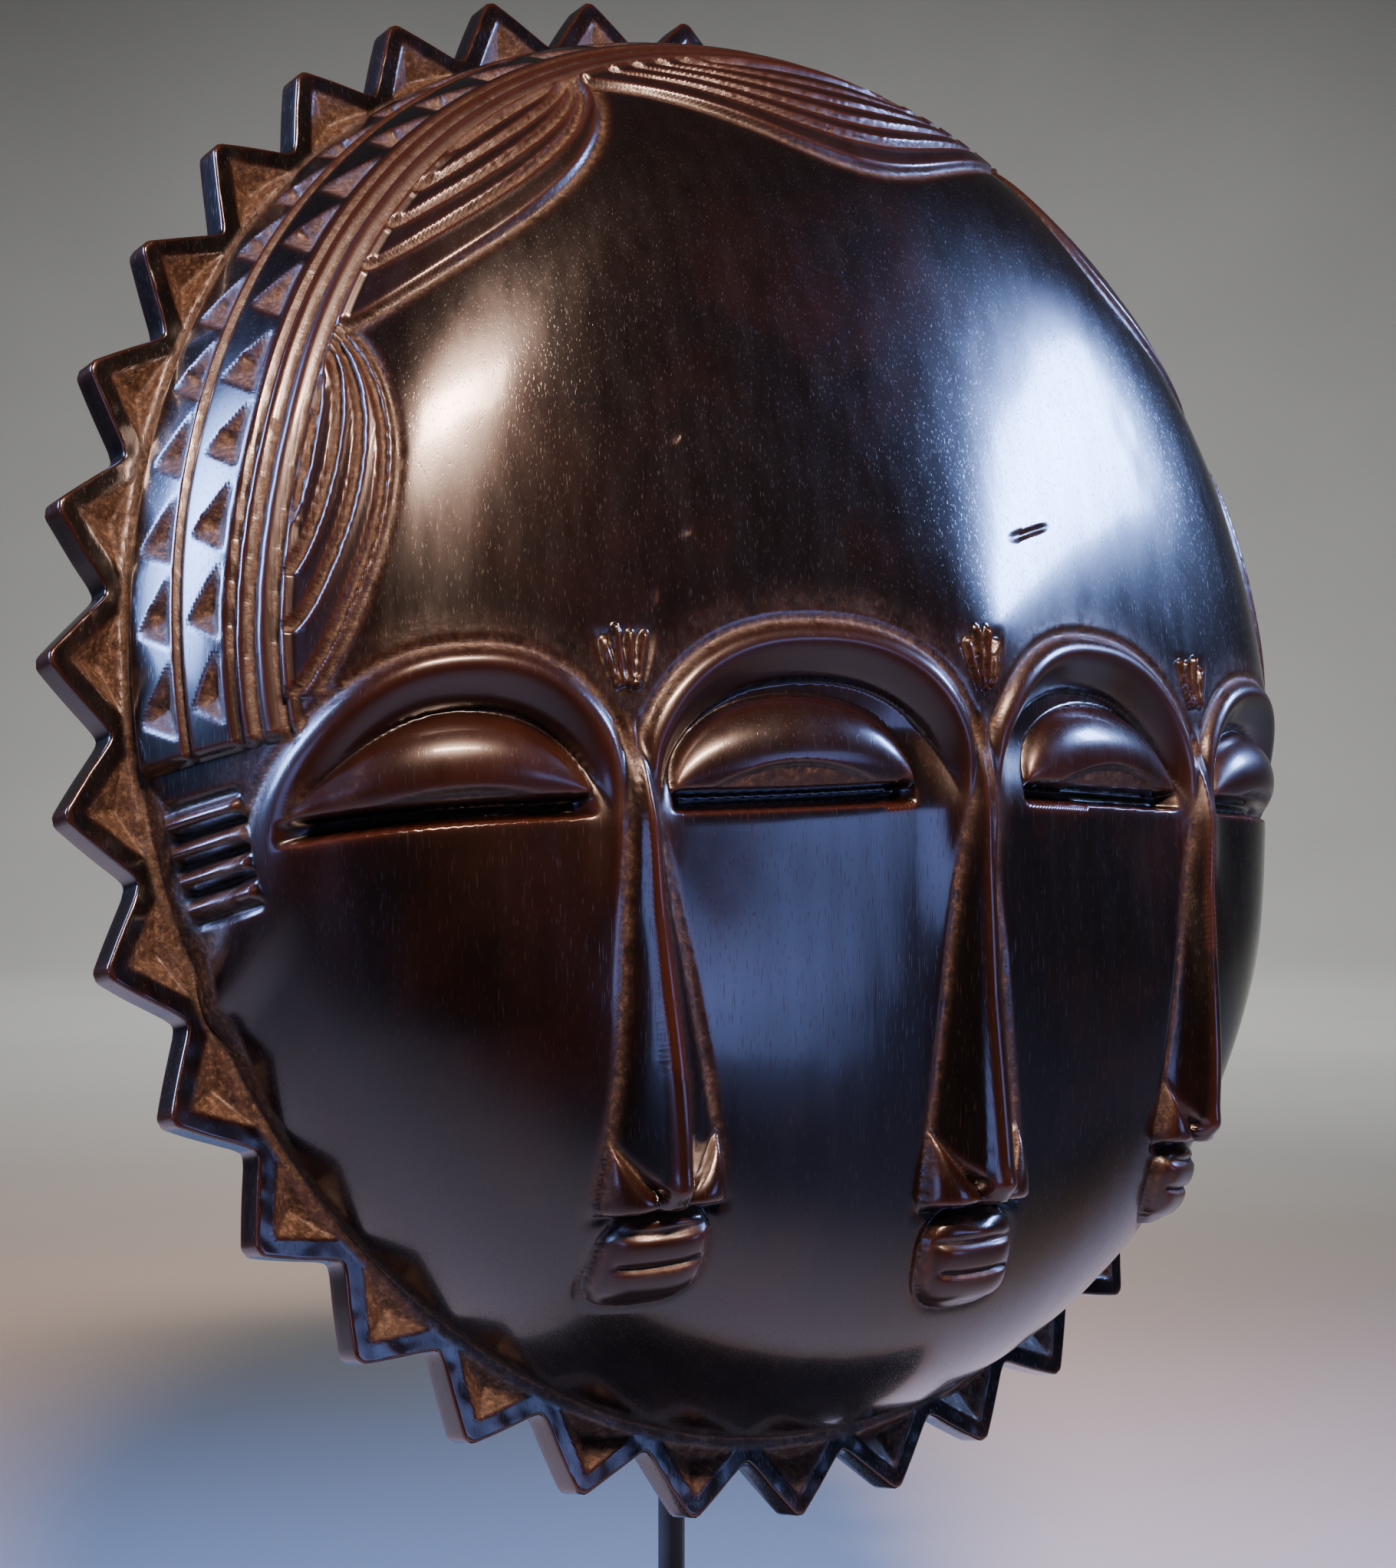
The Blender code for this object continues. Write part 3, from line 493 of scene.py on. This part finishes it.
def toothEdge():
    # Outline ratio by rim angle: straight from a blunt tip down to each valley.
    pitch = 360.0 / shell["teeth"]
    away = np.abs((angles - shell["toothPhase"] + pitch / 2.0) % pitch - pitch / 2.0)
    share = np.clip((away - shell["toothBlunt"]) / (pitch / 2.0 - shell["toothBlunt"]), 0.0, 1.0)
    share = 1.0 - (np.hypot(1.0 - share, 0.09) - 0.09) / (math.hypot(1.0, 0.09) - 0.09)
    wobble = 0.0020 * noise(angles * 0.31, np.full_like(angles, 3.5), np.full_like(angles, 1.5))
    return 1.0 - (1.0 - shell["valleyRatio"]) * share - np.abs(wobble) * (share < 0.9)


def rimPoint(ratio, y):
    # Points of the flat rim at a ratio of its outer ellipse and a depth.
    return np.stack([ratio * shell["tipHalfWidth"] * cosA, np.broadcast_to(y, ratio.shape),
                     ratio * unit * sinA], -1)


def flangeFront():
    # Front of the teeth from the dome's foot to the outline, with one chip cut in each tooth.
    edge = toothEdge()
    halfPit, base, deep, apex, depth = skin["pit"]
    pitch = 360.0 / shell["teeth"]
    away = (angles - shell["toothPhase"] + pitch / 2.0) % pitch - pitch / 2.0
    index = np.round((angles - shell["toothPhase"]) / pitch)
    rows, dusts = [], []
    end = edge - skin["edge"][0][0] / unit
    for share in np.linspace(0.0, 1.0, skin["frontSteps"] + 1)[1:]:
        ratio = shell["footRatio"] + (end - shell["footRatio"]) * share
        across = np.radians(away) * 0.93
        pit = chipPit(across, -ratio, math.radians(halfPit) * 0.93, -apex, -base, 0.0,
                      (0.0, (apex - deep) / (apex - base)))
        crease = hump(across, 0.005) * smooth(0.0, 0.4, pit)
        uneven = 0.00018 * noise(ratio * 60.0, angles * 0.8, np.full_like(angles, 5.5))
        sink = depth * pit * (0.9 + 0.25 * np.sin(index * 1.9)) + 0.0003 * crease - uneven
        rows.append(rimPoint(ratio, sink))
        foot = smooth(0.017, 0.006, ratio - shell["footRatio"])
        dusts.append(np.maximum(smooth(0.0, 0.10, pit) * 0.95, 0.75 * foot))
    return np.array(rows), np.array(dusts), edge


def gridFaces(rows, wrap, flip=False):
    # Quads between rows of equal length that start at the given point numbers.
    k = np.arange(wrap)
    m = (k + 1) % wrap
    faces = []
    for a, b in zip(rows[:-1], rows[1:]):
        quad = np.stack([a + k, a + m, b + m, b + k], -1)
        faces.append(quad[:, ::-1] if flip else quad)
    return np.concatenate(faces)


print("skin: shell and relief")
borderPoints, borderDust, borderRed, _ = ringZone(skin["borderParts"])
lobePoints, lobeDust, lobeRed, lobeRho = ringZone(skin["lobeParts"])
frontPoints, frontDust, edgeRatio = flangeFront()
discRadius, discColumn, discX, discZ = disc(lobeRho[-1])
discLift, discView, discDust, discRed = faceRelief(discX / unit, discZ / unit)
discPoints = dressed(discX, discZ, discLift + hand(discX, discZ), discView)
sidePoints = np.array([rimPoint(edgeRatio - inset / unit, np.full(columns, y)) for inset, y in skin["edge"]])
innerRatioX = (halfWidth - shell["wall"]) / shell["tipHalfWidth"]
innerRatioZ = (halfHeight - shell["wall"]) / unit
backRim = np.stack([innerRatioX * shell["tipHalfWidth"] * cosA, np.full(columns, shell["flange"]),
                    innerRatioZ * unit * sinA], -1)
backPoints = []
for share in np.linspace(0.0, 1.0, skin["backSteps"] + 1)[1:]:
    row = sidePoints[-1] * (1.0 - share) + backRim * share
    uneven = np.abs(noise(row[:, 0] * 120.0, row[:, 2] * 120.0, np.full(columns, 9.5)))
    row[:, 1] -= 0.0004 * uneven * (share < 1.0)
    backPoints.append(row)
backPoints = np.array(backPoints)

# Point numbers: border rows, lobe rows after the shared one, inner grid points, front rows, sides.
blocks = [borderPoints.reshape(-1, 3), lobePoints[1:].reshape(-1, 3)]
dusts = [borderDust.ravel(), lobeDust[1:].ravel()]
inner = discRadius < 1.0 - 1e-9
reds = [borderRed.ravel(), lobeRed[1:].ravel(), discRed[inner]]
borderRows = np.arange(len(borderPoints)) * columns
lobeRows = borderRows[-1] + np.arange(len(lobePoints)) * columns
discIndex = np.empty(discRadius.shape, int)
discStart = (len(borderPoints) + len(lobePoints) - 1) * columns
discIndex[inner] = discStart + np.arange(inner.sum())
discIndex[~inner] = lobeRows[-1] + np.round(discColumn[~inner]).astype(int) % columns
blocks.append(discPoints[inner])
dusts.append(discDust[inner])
frontStart = discStart + int(inner.sum())
frontRows = np.concatenate([[0], frontStart + np.arange(len(frontPoints)) * columns])
blocks.append(frontPoints.reshape(-1, 3))
dusts.append(frontDust.ravel())
sideRows = np.concatenate([[frontRows[-1]], frontRows[-1] + np.arange(1, len(sidePoints)) * columns])
blocks.append(sidePoints[1:].reshape(-1, 3))
dusts.append(np.zeros((len(sidePoints) - 1) * columns))
backRows = sideRows[-1] + np.arange(len(backPoints) + 1) * columns
blocks.append(backPoints.reshape(-1, 3))
dusts.append(np.full(len(backPoints) * columns, 0.55))
points = np.concatenate(blocks)
dust = np.concatenate(dusts)
red = np.concatenate(reds)

quads = {"hairBorder": gridFaces(borderRows, columns), "hairLobes": gridFaces(lobeRows, columns)}
corner = np.stack([discIndex[:-1, :-1], discIndex[1:, :-1], discIndex[1:, 1:], discIndex[:-1, 1:]], -1)
quads["brows"] = corner[:, columns // 8:].reshape(-1, 4)
quads["cheeks"] = corner[:, :columns // 8].reshape(-1, 4)
quads["toothedRim"] = np.concatenate([gridFaces(frontRows, columns, True), gridFaces(sideRows, columns, True),
                                      gridFaces(backRows, columns, True)])


# The hollow back: fewer columns, joined to the rim by one ring of wider faces.
hollow = {"columns": 360, "rings": 74, "scoopSize": (0.011, 0.0187), "scoopDeep": 0.0007, "dust": 1.2}


def innerRise(x, z):
    # The outer shell drawn in by the wall thickness.
    grow = halfWidth / (halfWidth - shell["wall"])
    return np.maximum(rise(x * grow, z * grow) * (1.0 - shell["wall"] / shell["rise"]) - 0.001, -0.001)


def scoopMarks(x, z):
    # Gouge marks: the nearest of a seeded scatter of centres, hollowed as one minus distance squared.
    gx, gz = x / hollow["scoopSize"][0], z / hollow["scoopSize"][1]
    bx, bz = np.floor(gx).astype(int), np.floor(gz).astype(int)
    best = np.full(x.shape, 9.0)
    for ox in (-1, 0, 1):
        for oz in (-1, 0, 1):
            cx, cz = bx + ox, bz + oz
            jx = noiseTable[cx % 32, cz % 32, 3]
            jz = noiseTable[cx % 32, cz % 32, 11]
            best = np.minimum(best, np.hypot(gx - cx - jx, gz - cz - jz))
    return hollow["scoopDeep"] * (1.0 - np.clip(best, 0.0, 1.0) ** 2)


def hollowSkin():
    # Inner wall: rings that start close at the rim and widen, then a round grid over the middle.
    turn = np.radians(shell["toothPhase"] + 360.0 * np.arange(hollow["columns"]) / hollow["columns"])
    rho = 1.0 - np.geomspace(0.0025, 0.50, hollow["rings"])
    wide, high = halfWidth - shell["wall"], halfHeight - shell["wall"]
    x, z = wide * rho[:, None] * np.cos(turn), high * rho[:, None] * np.sin(turn)
    radius, bend = roundGrid(hollow["columns"] // 4)
    angle = np.radians(shell["toothPhase"] + bend)
    dx, dz = wide * rho[-1] * radius * np.cos(angle), high * rho[-1] * radius * np.sin(angle)
    fadeIn = smooth(0.0, 0.03, 1.0 - rho)[:, None]
    ring = np.stack([x, -innerRise(x, z) - scoopMarks(x, z) * fadeIn, z], -1)
    cap = np.stack([dx, -innerRise(dx, dz) - scoopMarks(dx, dz), dz], -1)
    return ring, cap, radius, bend


count = hollow["columns"]
ring, cap, capRadius, capTurn = hollowSkin()
hollowStart = len(points)
ringPoints = ring.reshape(-1, 3)
capInner = capRadius < 1.0 - 1e-9
capIndex = np.empty(capRadius.shape, int)
capStart = hollowStart + len(ringPoints)
capIndex[capInner] = capStart + np.arange(capInner.sum())
lastRing = hollowStart + (len(ring) - 1) * count
capIndex[~capInner] = lastRing + np.round(capTurn[~capInner] / 360.0 * count).astype(int) % count
points = np.concatenate([points, ringPoints, cap[capInner]])
dust = np.concatenate([dust, np.full(len(points) - len(dust), hollow["dust"])])
rows = hollowStart + np.arange(len(ring)) * count
quads["hollowBack"] = np.concatenate([gridFaces(rows, count, True), np.stack(
    [capIndex[:-1, 1:], capIndex[1:, 1:], capIndex[1:, :-1], capIndex[:-1, :-1]], -1).reshape(-1, 4)])
fan = columns // count
step = np.arange(count)[:, None]
joins = np.concatenate([backRows[-1] + (step * fan + np.arange(fan, -1, -1)) % columns,
                        hollowStart + step, hollowStart + (step + 1) % count], 1)


def wholeNormals():
    # Area-weighted normals of the whole skin, so that pieces shade alike where they meet.
    total = np.zeros_like(points)
    for faces in quads.values():
        a, b, c, d = (points[faces[:, i]] for i in range(4))
        area = np.cross(c - a, d - b)
        for i in range(4):
            np.add.at(total, faces[:, i], area)
    a, b, c = (points[joins[:, i]] for i in (0, fan, fan + 1))
    np.add.at(total, joins, np.cross(b - a, c - a)[:, None, :])
    return total / np.maximum(np.linalg.norm(total, axis=1, keepdims=True), 1e-12)


def spread(values, rounds):
    # Mean with the neighbours along every face edge, repeated.
    ends = np.concatenate([f[:, [i, (i + 1) % 4]] for f in quads.values() for i in range(4)])
    number = np.bincount(ends.ravel(), minlength=len(points)).astype(float)
    for _ in range(rounds):
        total = np.zeros_like(values)
        for axis in range(values.shape[1]):
            total[:, axis] = np.bincount(ends[:, 0], weights=values[ends[:, 1], axis], minlength=len(points))
            total[:, axis] += np.bincount(ends[:, 1], weights=values[ends[:, 0], axis], minlength=len(points))
        values = 0.5 * values + 0.5 * total / np.maximum(number, 1.0)[:, None]
    return values


print("skin: normals and wear")
normals = wholeNormals()
red = np.concatenate([red, np.zeros(len(points) - len(red))])
bulge = ((points - spread(points, 5)) * normals).sum(1)
wear = np.clip(bulge / 0.00022, 0.0, 1.0)
# Painted shade: points that lie in a hollow of their neighbours are darkened in the wood's colour, standing
# in for shade in creases and hollows.
cavity = np.clip(-bulge / 0.00028, 0.0, 1.0)
softDust = spread(dust[:, None], 1)[:, 0]
softRed = spread(red[:, None], 3)[:, 0]
worldPoints = placed(points)
turnMatrix = np.array(Matrix.Rotation(-lean, 3, "X"))
worldNormals = normals @ turnMatrix.T


def fillPiece(name, faces, extra):
    # A mesh object from the shared points, with its own wear, dust, painted crease shade and red on each
    # point.
    used, back = np.unique(np.concatenate([faces.ravel(), extra.ravel()]), return_inverse=True)
    starts = np.concatenate([np.arange(len(faces)) * 4,
                             len(faces) * 4 + np.arange(len(extra)) * (fan + 3)]).astype(int)
    mesh = bpy.data.meshes.new(name)
    mesh.vertices.add(len(used))
    mesh.vertices.foreach_set("co", worldPoints[used].ravel())
    mesh.loops.add(len(back))
    mesh.loops.foreach_set("vertex_index", back.astype(np.int32))
    mesh.polygons.add(len(starts))
    mesh.polygons.foreach_set("loop_start", starts.astype(np.int32))
    mesh.update(calc_edges=True)
    mesh.validate()
    mesh.shade_smooth()
    mesh.normals_split_custom_set_from_vertices(worldNormals[used])
    for label, values in (("dust", softDust), ("wear", wear), ("cavity", cavity), ("red", softRed)):
        layer = mesh.attributes.new(label, "FLOAT", "POINT")
        layer.data.foreach_set("value", values[used].astype(np.float32))
    piece = bpy.data.objects.new(name, mesh)
    bpy.context.scene.collection.objects.link(piece)
    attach(piece, "root")
    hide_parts("mask")
    return piece


maskPieces = [fillPiece(name, faces, joins[:count * (name == "hollowBack")]) for name, faces in quads.items()]
print("skin: pieces", {p.name: len(p.data.polygons) for p in maskPieces})


# Materials.
def linear(text):
    # sRGB hex colour to linear values.
    parts = [int(text[i:i + 2], 16) / 255.0 for i in (1, 3, 5)]
    return tuple(c / 12.92 if c <= 0.04045 else ((c + 0.055) / 1.055) ** 2.4 for c in parts) + (1.0,)


def node(tree, kind, settings=None, links=None, output=0):
    # Adds one node. A setting is a property, a ramp's stops or an input's value, a link joins a socket
    # to an input, and inputs and the output that comes back go by name or number.
    item = tree.nodes.new("ShaderNode" + kind)
    for key, value in (settings or {}).items():
        if key == "stops":
            while len(item.color_ramp.elements) < len(value):
                item.color_ramp.elements.new(0.5)
            for element, (place, color) in zip(item.color_ramp.elements, value):
                element.position = place
                element.color = linear(color) if isinstance(color, str) else (color, color, color, 1.0)
        elif isinstance(key, str) and hasattr(item, key):
            setattr(item, key, value)
        else:
            item.inputs[key].default_value = value
    for key, socket in (links or {}).items():
        tree.links.new(socket, item.inputs[key])
    return item.outputs[output]


def newMaterial(name):
    # A new material with its tree and its shader.
    mat = bpy.data.materials.new(name)
    mat.use_nodes = True
    return mat, mat.node_tree, mat.node_tree.nodes["Principled BSDF"]


# Pattern sizes in millimetres: real pores are 0.1 to 0.2 wide, too fine to show, so they are drawn
# at 0.3; grain streaks 4, patches of dye 65, grit 1.1 and crumbs of dirt 4.
woodLook = {"dyed": [(0.34, "#050303"), (0.52, "#090504"), (0.74, "#1e0d08")],
            # The red-brown ramp below is rubbed wear and in part painted warm light.
            "rubbedAndLit": [(0.30, "#130705"), (0.55, "#240f09"), (0.75, "#391b0e")],
            "raw": [(0.30, "#211812"), (0.50, "#513c2c"), (0.68, "#8b7259")],
            # The near-black hollow colour is painted shade for creases and hollows.
            "pore": "#3a2014", "worn": "#5a2d1a", "cavity": "#070403", "crumb": "#372419",
            "poreScale": 3400.0, "grainScale": 260.0, "dyeScale": 15.0, "gritScale": 900.0,
            "crumbScale": 260.0, "ior": 1.5, "roughness": 0.14, "coat": 0.60, "coatRoughness": 0.10}


def maskWood():
    # West African hardwood, dyed dark and polished by hand with oil: it gives the eye a near-black
    # brown with a soft wide gloss under a thin sharper one, fine short upright pores, red-brown where
    # hands rubbed the dye thin, which in part is painted warm light, painted shade that darkens
    # creases and hollows, and raw dusty brown in the cuts that the cloth never reached.
    look = woodLook
    mat, tree, shader = newMaterial("maskWood")
    place = node(tree, "TexCoord", output="Object")
    dustHere, wearHere, creaseShadeHere, redHere = (
        node(tree, "Attribute", {"attribute_name": label}, output="Fac")
        for label in ("dust", "wear", "cavity", "red"))
    upright = node(tree, "Mapping", {"Scale": (1.0, 1.0, 0.08)}, {"Vector": place})
    pores = node(tree, "TexNoise", {"Scale": look["poreScale"], "Detail": 1.0, "Roughness": 0.5},
                 {"Vector": upright})
    pores = node(tree, "ValToRGB", {"stops": [(0.62, 0.0), (0.78, 1.0)]}, {"Fac": pores})
    bands = node(tree, "TexNoise", {"Scale": look["grainScale"], "Detail": 4.0, "Roughness": 0.6},
                 {"Vector": upright})
    clouds = node(tree, "TexNoise", {"Scale": look["dyeScale"], "Detail": 6.0, "Roughness": 0.64},
                  {"Vector": place})
    grit = node(tree, "TexNoise", {"Scale": look["gritScale"], "Detail": 6.0, "Roughness": 0.7},
                {"Vector": place})
    crumbs = node(tree, "TexNoise", {"Scale": look["crumbScale"], "Detail": 4.0, "Roughness": 0.6},
                  {"Vector": place})

    # Colour: dye, rubbed red that is in part painted warm light, pores, worn edges, painted shade
    # in creases and hollows, then raw dust over all.
    color = node(tree, "ValToRGB", {"stops": look["dyed"]}, {"Fac": clouds})
    rubbedAndLit = node(tree, "ValToRGB", {"stops": look["rubbedAndLit"]}, {"Fac": clouds})
    share = node(tree, "Math", {"operation": "MULTIPLY", 1: 0.75}, {0: redHere})
    color = node(tree, "Mix", {"data_type": "RGBA"}, {0: share, 6: color, 7: rubbedAndLit}, 2)
    # The last of these mixes is painted shade: creases and hollows darkened to near black.
    for much, mask, shade in ((0.10, pores, "pore"), (0.30, wearHere, "worn"), (0.80, creaseShadeHere, "cavity")):
        share = node(tree, "Math", {"operation": "MULTIPLY", 1: much}, {0: mask})
        color = node(tree, "Mix", {"data_type": "RGBA", 7: linear(look[shade])}, {0: share, 6: color}, 2)
    raw = node(tree, "ValToRGB", {"stops": look["raw"]}, {"Fac": grit})
    share = node(tree, "ValToRGB", {"stops": [(0.45, 0.0), (0.62, 0.70)]}, {"Fac": crumbs})
    raw = node(tree, "Mix", {"data_type": "RGBA", 7: linear(look["crumb"])}, {0: share, 6: raw}, 2)
    share = node(tree, "ValToRGB", {"stops": [(0.32, 0.45), (0.56, 1.0)]}, {"Fac": crumbs})
    dusty = node(tree, "Math", {"operation": "MULTIPLY"}, {0: share, 1: dustHere})
    color = node(tree, "Mix", {"data_type": "RGBA"}, {0: dusty, 6: color, 7: raw}, 2)
    tree.links.new(color, shader.inputs["Base Color"])

    # Gloss: duller along the grain, on the red that is rubbed wear and in part painted warm light,
    # in pores and most of all under dust.
    gloss = node(tree, "Math", {"operation": "MULTIPLY_ADD", 1: 0.17, 2: look["roughness"]}, {0: bands})
    gloss = node(tree, "Math", {"operation": "MULTIPLY_ADD", 1: 0.13}, {0: redHere, 2: gloss})
    gloss = node(tree, "Math", {"operation": "MULTIPLY_ADD", 1: 0.16}, {0: pores, 2: gloss})
    gloss = node(tree, "Math", {"operation": "MULTIPLY_ADD", 1: 0.45, "use_clamp": True},
                 {0: dusty, 2: gloss})
    tree.links.new(gloss, shader.inputs["Roughness"])
    oiled = node(tree, "Math", {"operation": "MULTIPLY_ADD", 1: -0.34, 2: look["coat"]}, {0: redHere})
    oiled = node(tree, "Math", {"operation": "SUBTRACT", "use_clamp": True}, {0: oiled, 1: dusty})
    tree.links.new(oiled, shader.inputs["Coat Weight"])
    shader.inputs["IOR"].default_value = look["ior"]
    shader.inputs["Coat Roughness"].default_value = look["coatRoughness"]

    # Bump: sunk pores, raised streaks, and the dust's own roughness.
    height = node(tree, "Math", {"operation": "MULTIPLY", 1: -0.10}, {0: pores})
    height = node(tree, "Math", {"operation": "MULTIPLY_ADD", 1: 0.25}, {0: bands, 2: height})
    coarse = node(tree, "Math", {"operation": "ADD"}, {0: grit, 1: crumbs})
    share = node(tree, "Math", {"operation": "MULTIPLY", 1: 2.4}, {0: dusty})
    height = node(tree, "Math", {"operation": "MULTIPLY_ADD"}, {0: coarse, 1: share, 2: height})
    bump = node(tree, "Bump", {"Strength": 0.5, "Distance": 0.00016}, {"Height": height})
    tree.links.new(bump, shader.inputs["Normal"])
    tree.links.new(bump, shader.inputs["Coat Normal"])
    return mat


# The stand: each bar was sprayed apart, so its shade and gloss differ a little.
steelLook = {"foot": ("footSteel", "#101012", 0.32), "post": ("postSteel", "#131315", 0.28),
             "post_block": ("blockSteel", "#121214", 0.30), "spine": ("spineSteel", "#121214", 0.30),
             "cross_bar": ("crossBarSteel", "#131315", 0.31),
             "upper_hook": ("upperHookSteel", "#141416", 0.30),
             "lower_hook": ("lowerHookSteel", "#141416", 0.30)}


def sprayedSteel(name, shade, rough):
    # Mild steel bar, sprayed satin black: even and dark, faint orange peel of 0.9 mm, and duller,
    # greyer patches of about 17 mm where the coat is thin.
    mat, tree, shader = newMaterial(name)
    place = node(tree, "TexCoord", output="Object")
    peel = node(tree, "TexNoise", {"Scale": 1100.0, "Detail": 2.0}, {"Vector": place})
    patches = node(tree, "TexNoise", {"Scale": 60.0, "Detail": 5.0, "Roughness": 0.7}, {"Vector": place})
    color = node(tree, "ValToRGB", {"stops": [(0.35, shade), (0.70, "#2a2a2c")]}, {"Fac": patches})
    tree.links.new(color, shader.inputs["Base Color"])
    gloss = node(tree, "Math", {"operation": "MULTIPLY_ADD", 1: 0.25, 2: rough}, {0: patches})
    tree.links.new(gloss, shader.inputs["Roughness"])
    bump = node(tree, "Bump", {"Strength": 0.35, "Distance": 0.00008}, {"Height": peel})
    tree.links.new(bump, shader.inputs["Normal"])
    return mat


print("materials: wood and steel")
wood = maskWood()
for piece in maskPieces:
    piece.data.materials.append(wood)
for name, look in steelLook.items():
    steel = sprayedSteel(*look)
    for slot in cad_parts[name].material_slots:
        slot.material = steel


# Floor, light and camera.
stage = {"flat": 2.8, "bend": 1.2, "wall": 5.0, "sides": 120, "shades": [(0.3, "#bdbdbc"), (0.7, "#c4c4c3")]}


def stageFloor():
    # Pale matt paper laid flat and turned up all round: a flat disc, then a quarter circle and a
    # straight wall, each point being (r cos a, r sin a, height).
    turn = np.radians(np.linspace(0.0, 90.0, 25))
    radius = np.concatenate([[0.6, 1.6], stage["flat"] + stage["bend"] * np.sin(turn),
                             [stage["flat"] + stage["bend"]]])
    height = np.concatenate([[0.0, 0.0], stage["bend"] * (1.0 - np.cos(turn)), [stage["wall"]]])
    sides = stage["sides"]
    across = np.arange(sides) * (2.0 * math.pi / sides)
    ring = np.stack([radius[:, None] * np.cos(across), radius[:, None] * np.sin(across),
                     height[:, None] + 0.0 * across], -1).reshape(-1, 3)
    verts = np.vstack([ring, [[0.0, 0.0, 0.0]]])
    r, c = np.meshgrid(np.arange(len(radius) - 1) * sides, np.arange(sides), indexing="ij")
    after = (c + 1) % sides
    faces = np.stack([r + c, r + sides + c, r + sides + after, r + after], -1).reshape(-1, 4).tolist()
    faces += np.stack([np.full(sides, len(ring)), c[0], after[0]], -1).tolist()
    mesh = bpy.data.meshes.new("paperFloor")
    mesh.from_pydata(verts.tolist(), [], faces)
    mesh.shade_smooth()
    floor = bpy.data.objects.new("paperFloor", mesh)
    bpy.context.scene.collection.objects.link(floor)
    # Background paper, uncoated: matt, with a faint mottle of about 300 mm.
    mat, tree, shader = newMaterial("paleFloor")
    place = node(tree, "TexCoord", output="Object")
    mottle = node(tree, "TexNoise", {"Scale": 3.0, "Detail": 4.0}, {"Vector": place})
    color = node(tree, "ValToRGB", {"stops": stage["shades"]}, {"Fac": mottle})
    tree.links.new(color, shader.inputs["Base Color"])
    shader.inputs["Roughness"].default_value = 0.85
    mesh.materials.append(mat)


def areaLight(name, at, target, size, power, color, spread):
    # A soft box that faces its target: size in metres, power in watts, spread of its grid in degrees.
    light = bpy.data.lights.new(name, "AREA")
    light.shape = "RECTANGLE"
    light.size, light.size_y = size
    light.energy = power
    light.color = linear(color)[:3]
    light.spread = math.radians(spread)
    lamp = bpy.data.objects.new(name, light)
    lamp.location = at
    lamp.rotation_euler = (Vector(at) - Vector(target)).to_track_quat("Z", "Y").to_euler()
    bpy.context.scene.collection.objects.link(lamp)


def studio():
    # Soft boxes with grids: each stands where its reflection in the polished shell is seen, given
    # from the mask's centre, and spreads no wider than the mask needs. One more lights the paper.
    centre = Vector((0.0, maskY, maskZ))
    for name, at, size, power, color, spread in (
            ("warmLamp", (-0.320, -0.950, 0.885), (0.54, 0.12), 2.90, "#ffd2b8", 40.0),
            ("coolWindow", (0.965, -0.430, 0.490), (0.22, 0.22), 0.95, "#93b2ff", 40.0),
            ("coolBack", (-0.850, 0.510, 0.430), (0.42, 0.62), 3.40, "#93b2ff", 40.0),
            ("coolFill", (0.520, -1.230, -0.060), (0.50, 0.33), 0.14, "#93aaff", 45.0),
            ("coolSide", (-1.270, -0.270, -0.060), (0.50, 0.33), 0.14, "#93aaff", 45.0)):
        areaLight(name, centre + Vector(at), centre, size, power, color, spread)
    areaLight("paperLamp", (1.0, 1.2, 2.1), (1.7, 2.0, 0.0), (1.2, 1.2), 32.0, "#f6f5f2", 120.0)
    world = bpy.data.worlds.new("studioWorld")
    bpy.context.scene.world = world
    world.use_nodes = True
    back = world.node_tree.nodes["Background"]
    back.inputs["Color"].default_value = linear("#dfe3ea")
    back.inputs["Strength"].default_value = 0.05


def photoCamera():
    # The photograph's own viewpoint: azimuth, elevation and distance in units, small turns to frame.
    view = {"azimuth": -39.867, "elevation": -1.668, "distance": 3.270, "yaw": 0.972, "pitch": 1.310,
            "focal": 3248.77, "longSide": 2044.0}
    a, e = math.radians(view["azimuth"]), math.radians(view["elevation"])
    away = Vector((math.sin(a) * math.cos(e), -math.cos(a) * math.cos(e), math.sin(e)))
    a, e = a + math.radians(view["yaw"]), e + math.radians(view["pitch"])
    back = Vector((math.sin(a) * math.cos(e), -math.cos(a) * math.cos(e), math.sin(e)))
    right = Vector((0.0, 0.0, 1.0)).cross(back).normalized()
    up = back.cross(right)
    matrix = Matrix((right, up, back)).transposed().to_4x4()
    matrix.translation = Vector((0.0, maskY, maskZ)) + away * (unit * view["distance"])
    lens = bpy.data.cameras.new("photoCamera")
    lens.sensor_width = 36.0
    lens.lens = view["focal"] * 36.0 / view["longSide"]
    lens.clip_start = 0.02
    camera = bpy.data.objects.new("photoCamera", lens)
    camera.matrix_world = matrix
    bpy.context.scene.collection.objects.link(camera)
    bpy.context.scene.camera = camera


print("stage and camera")
stageFloor()
studio()
photoCamera()
bpy.context.view_layer.update()
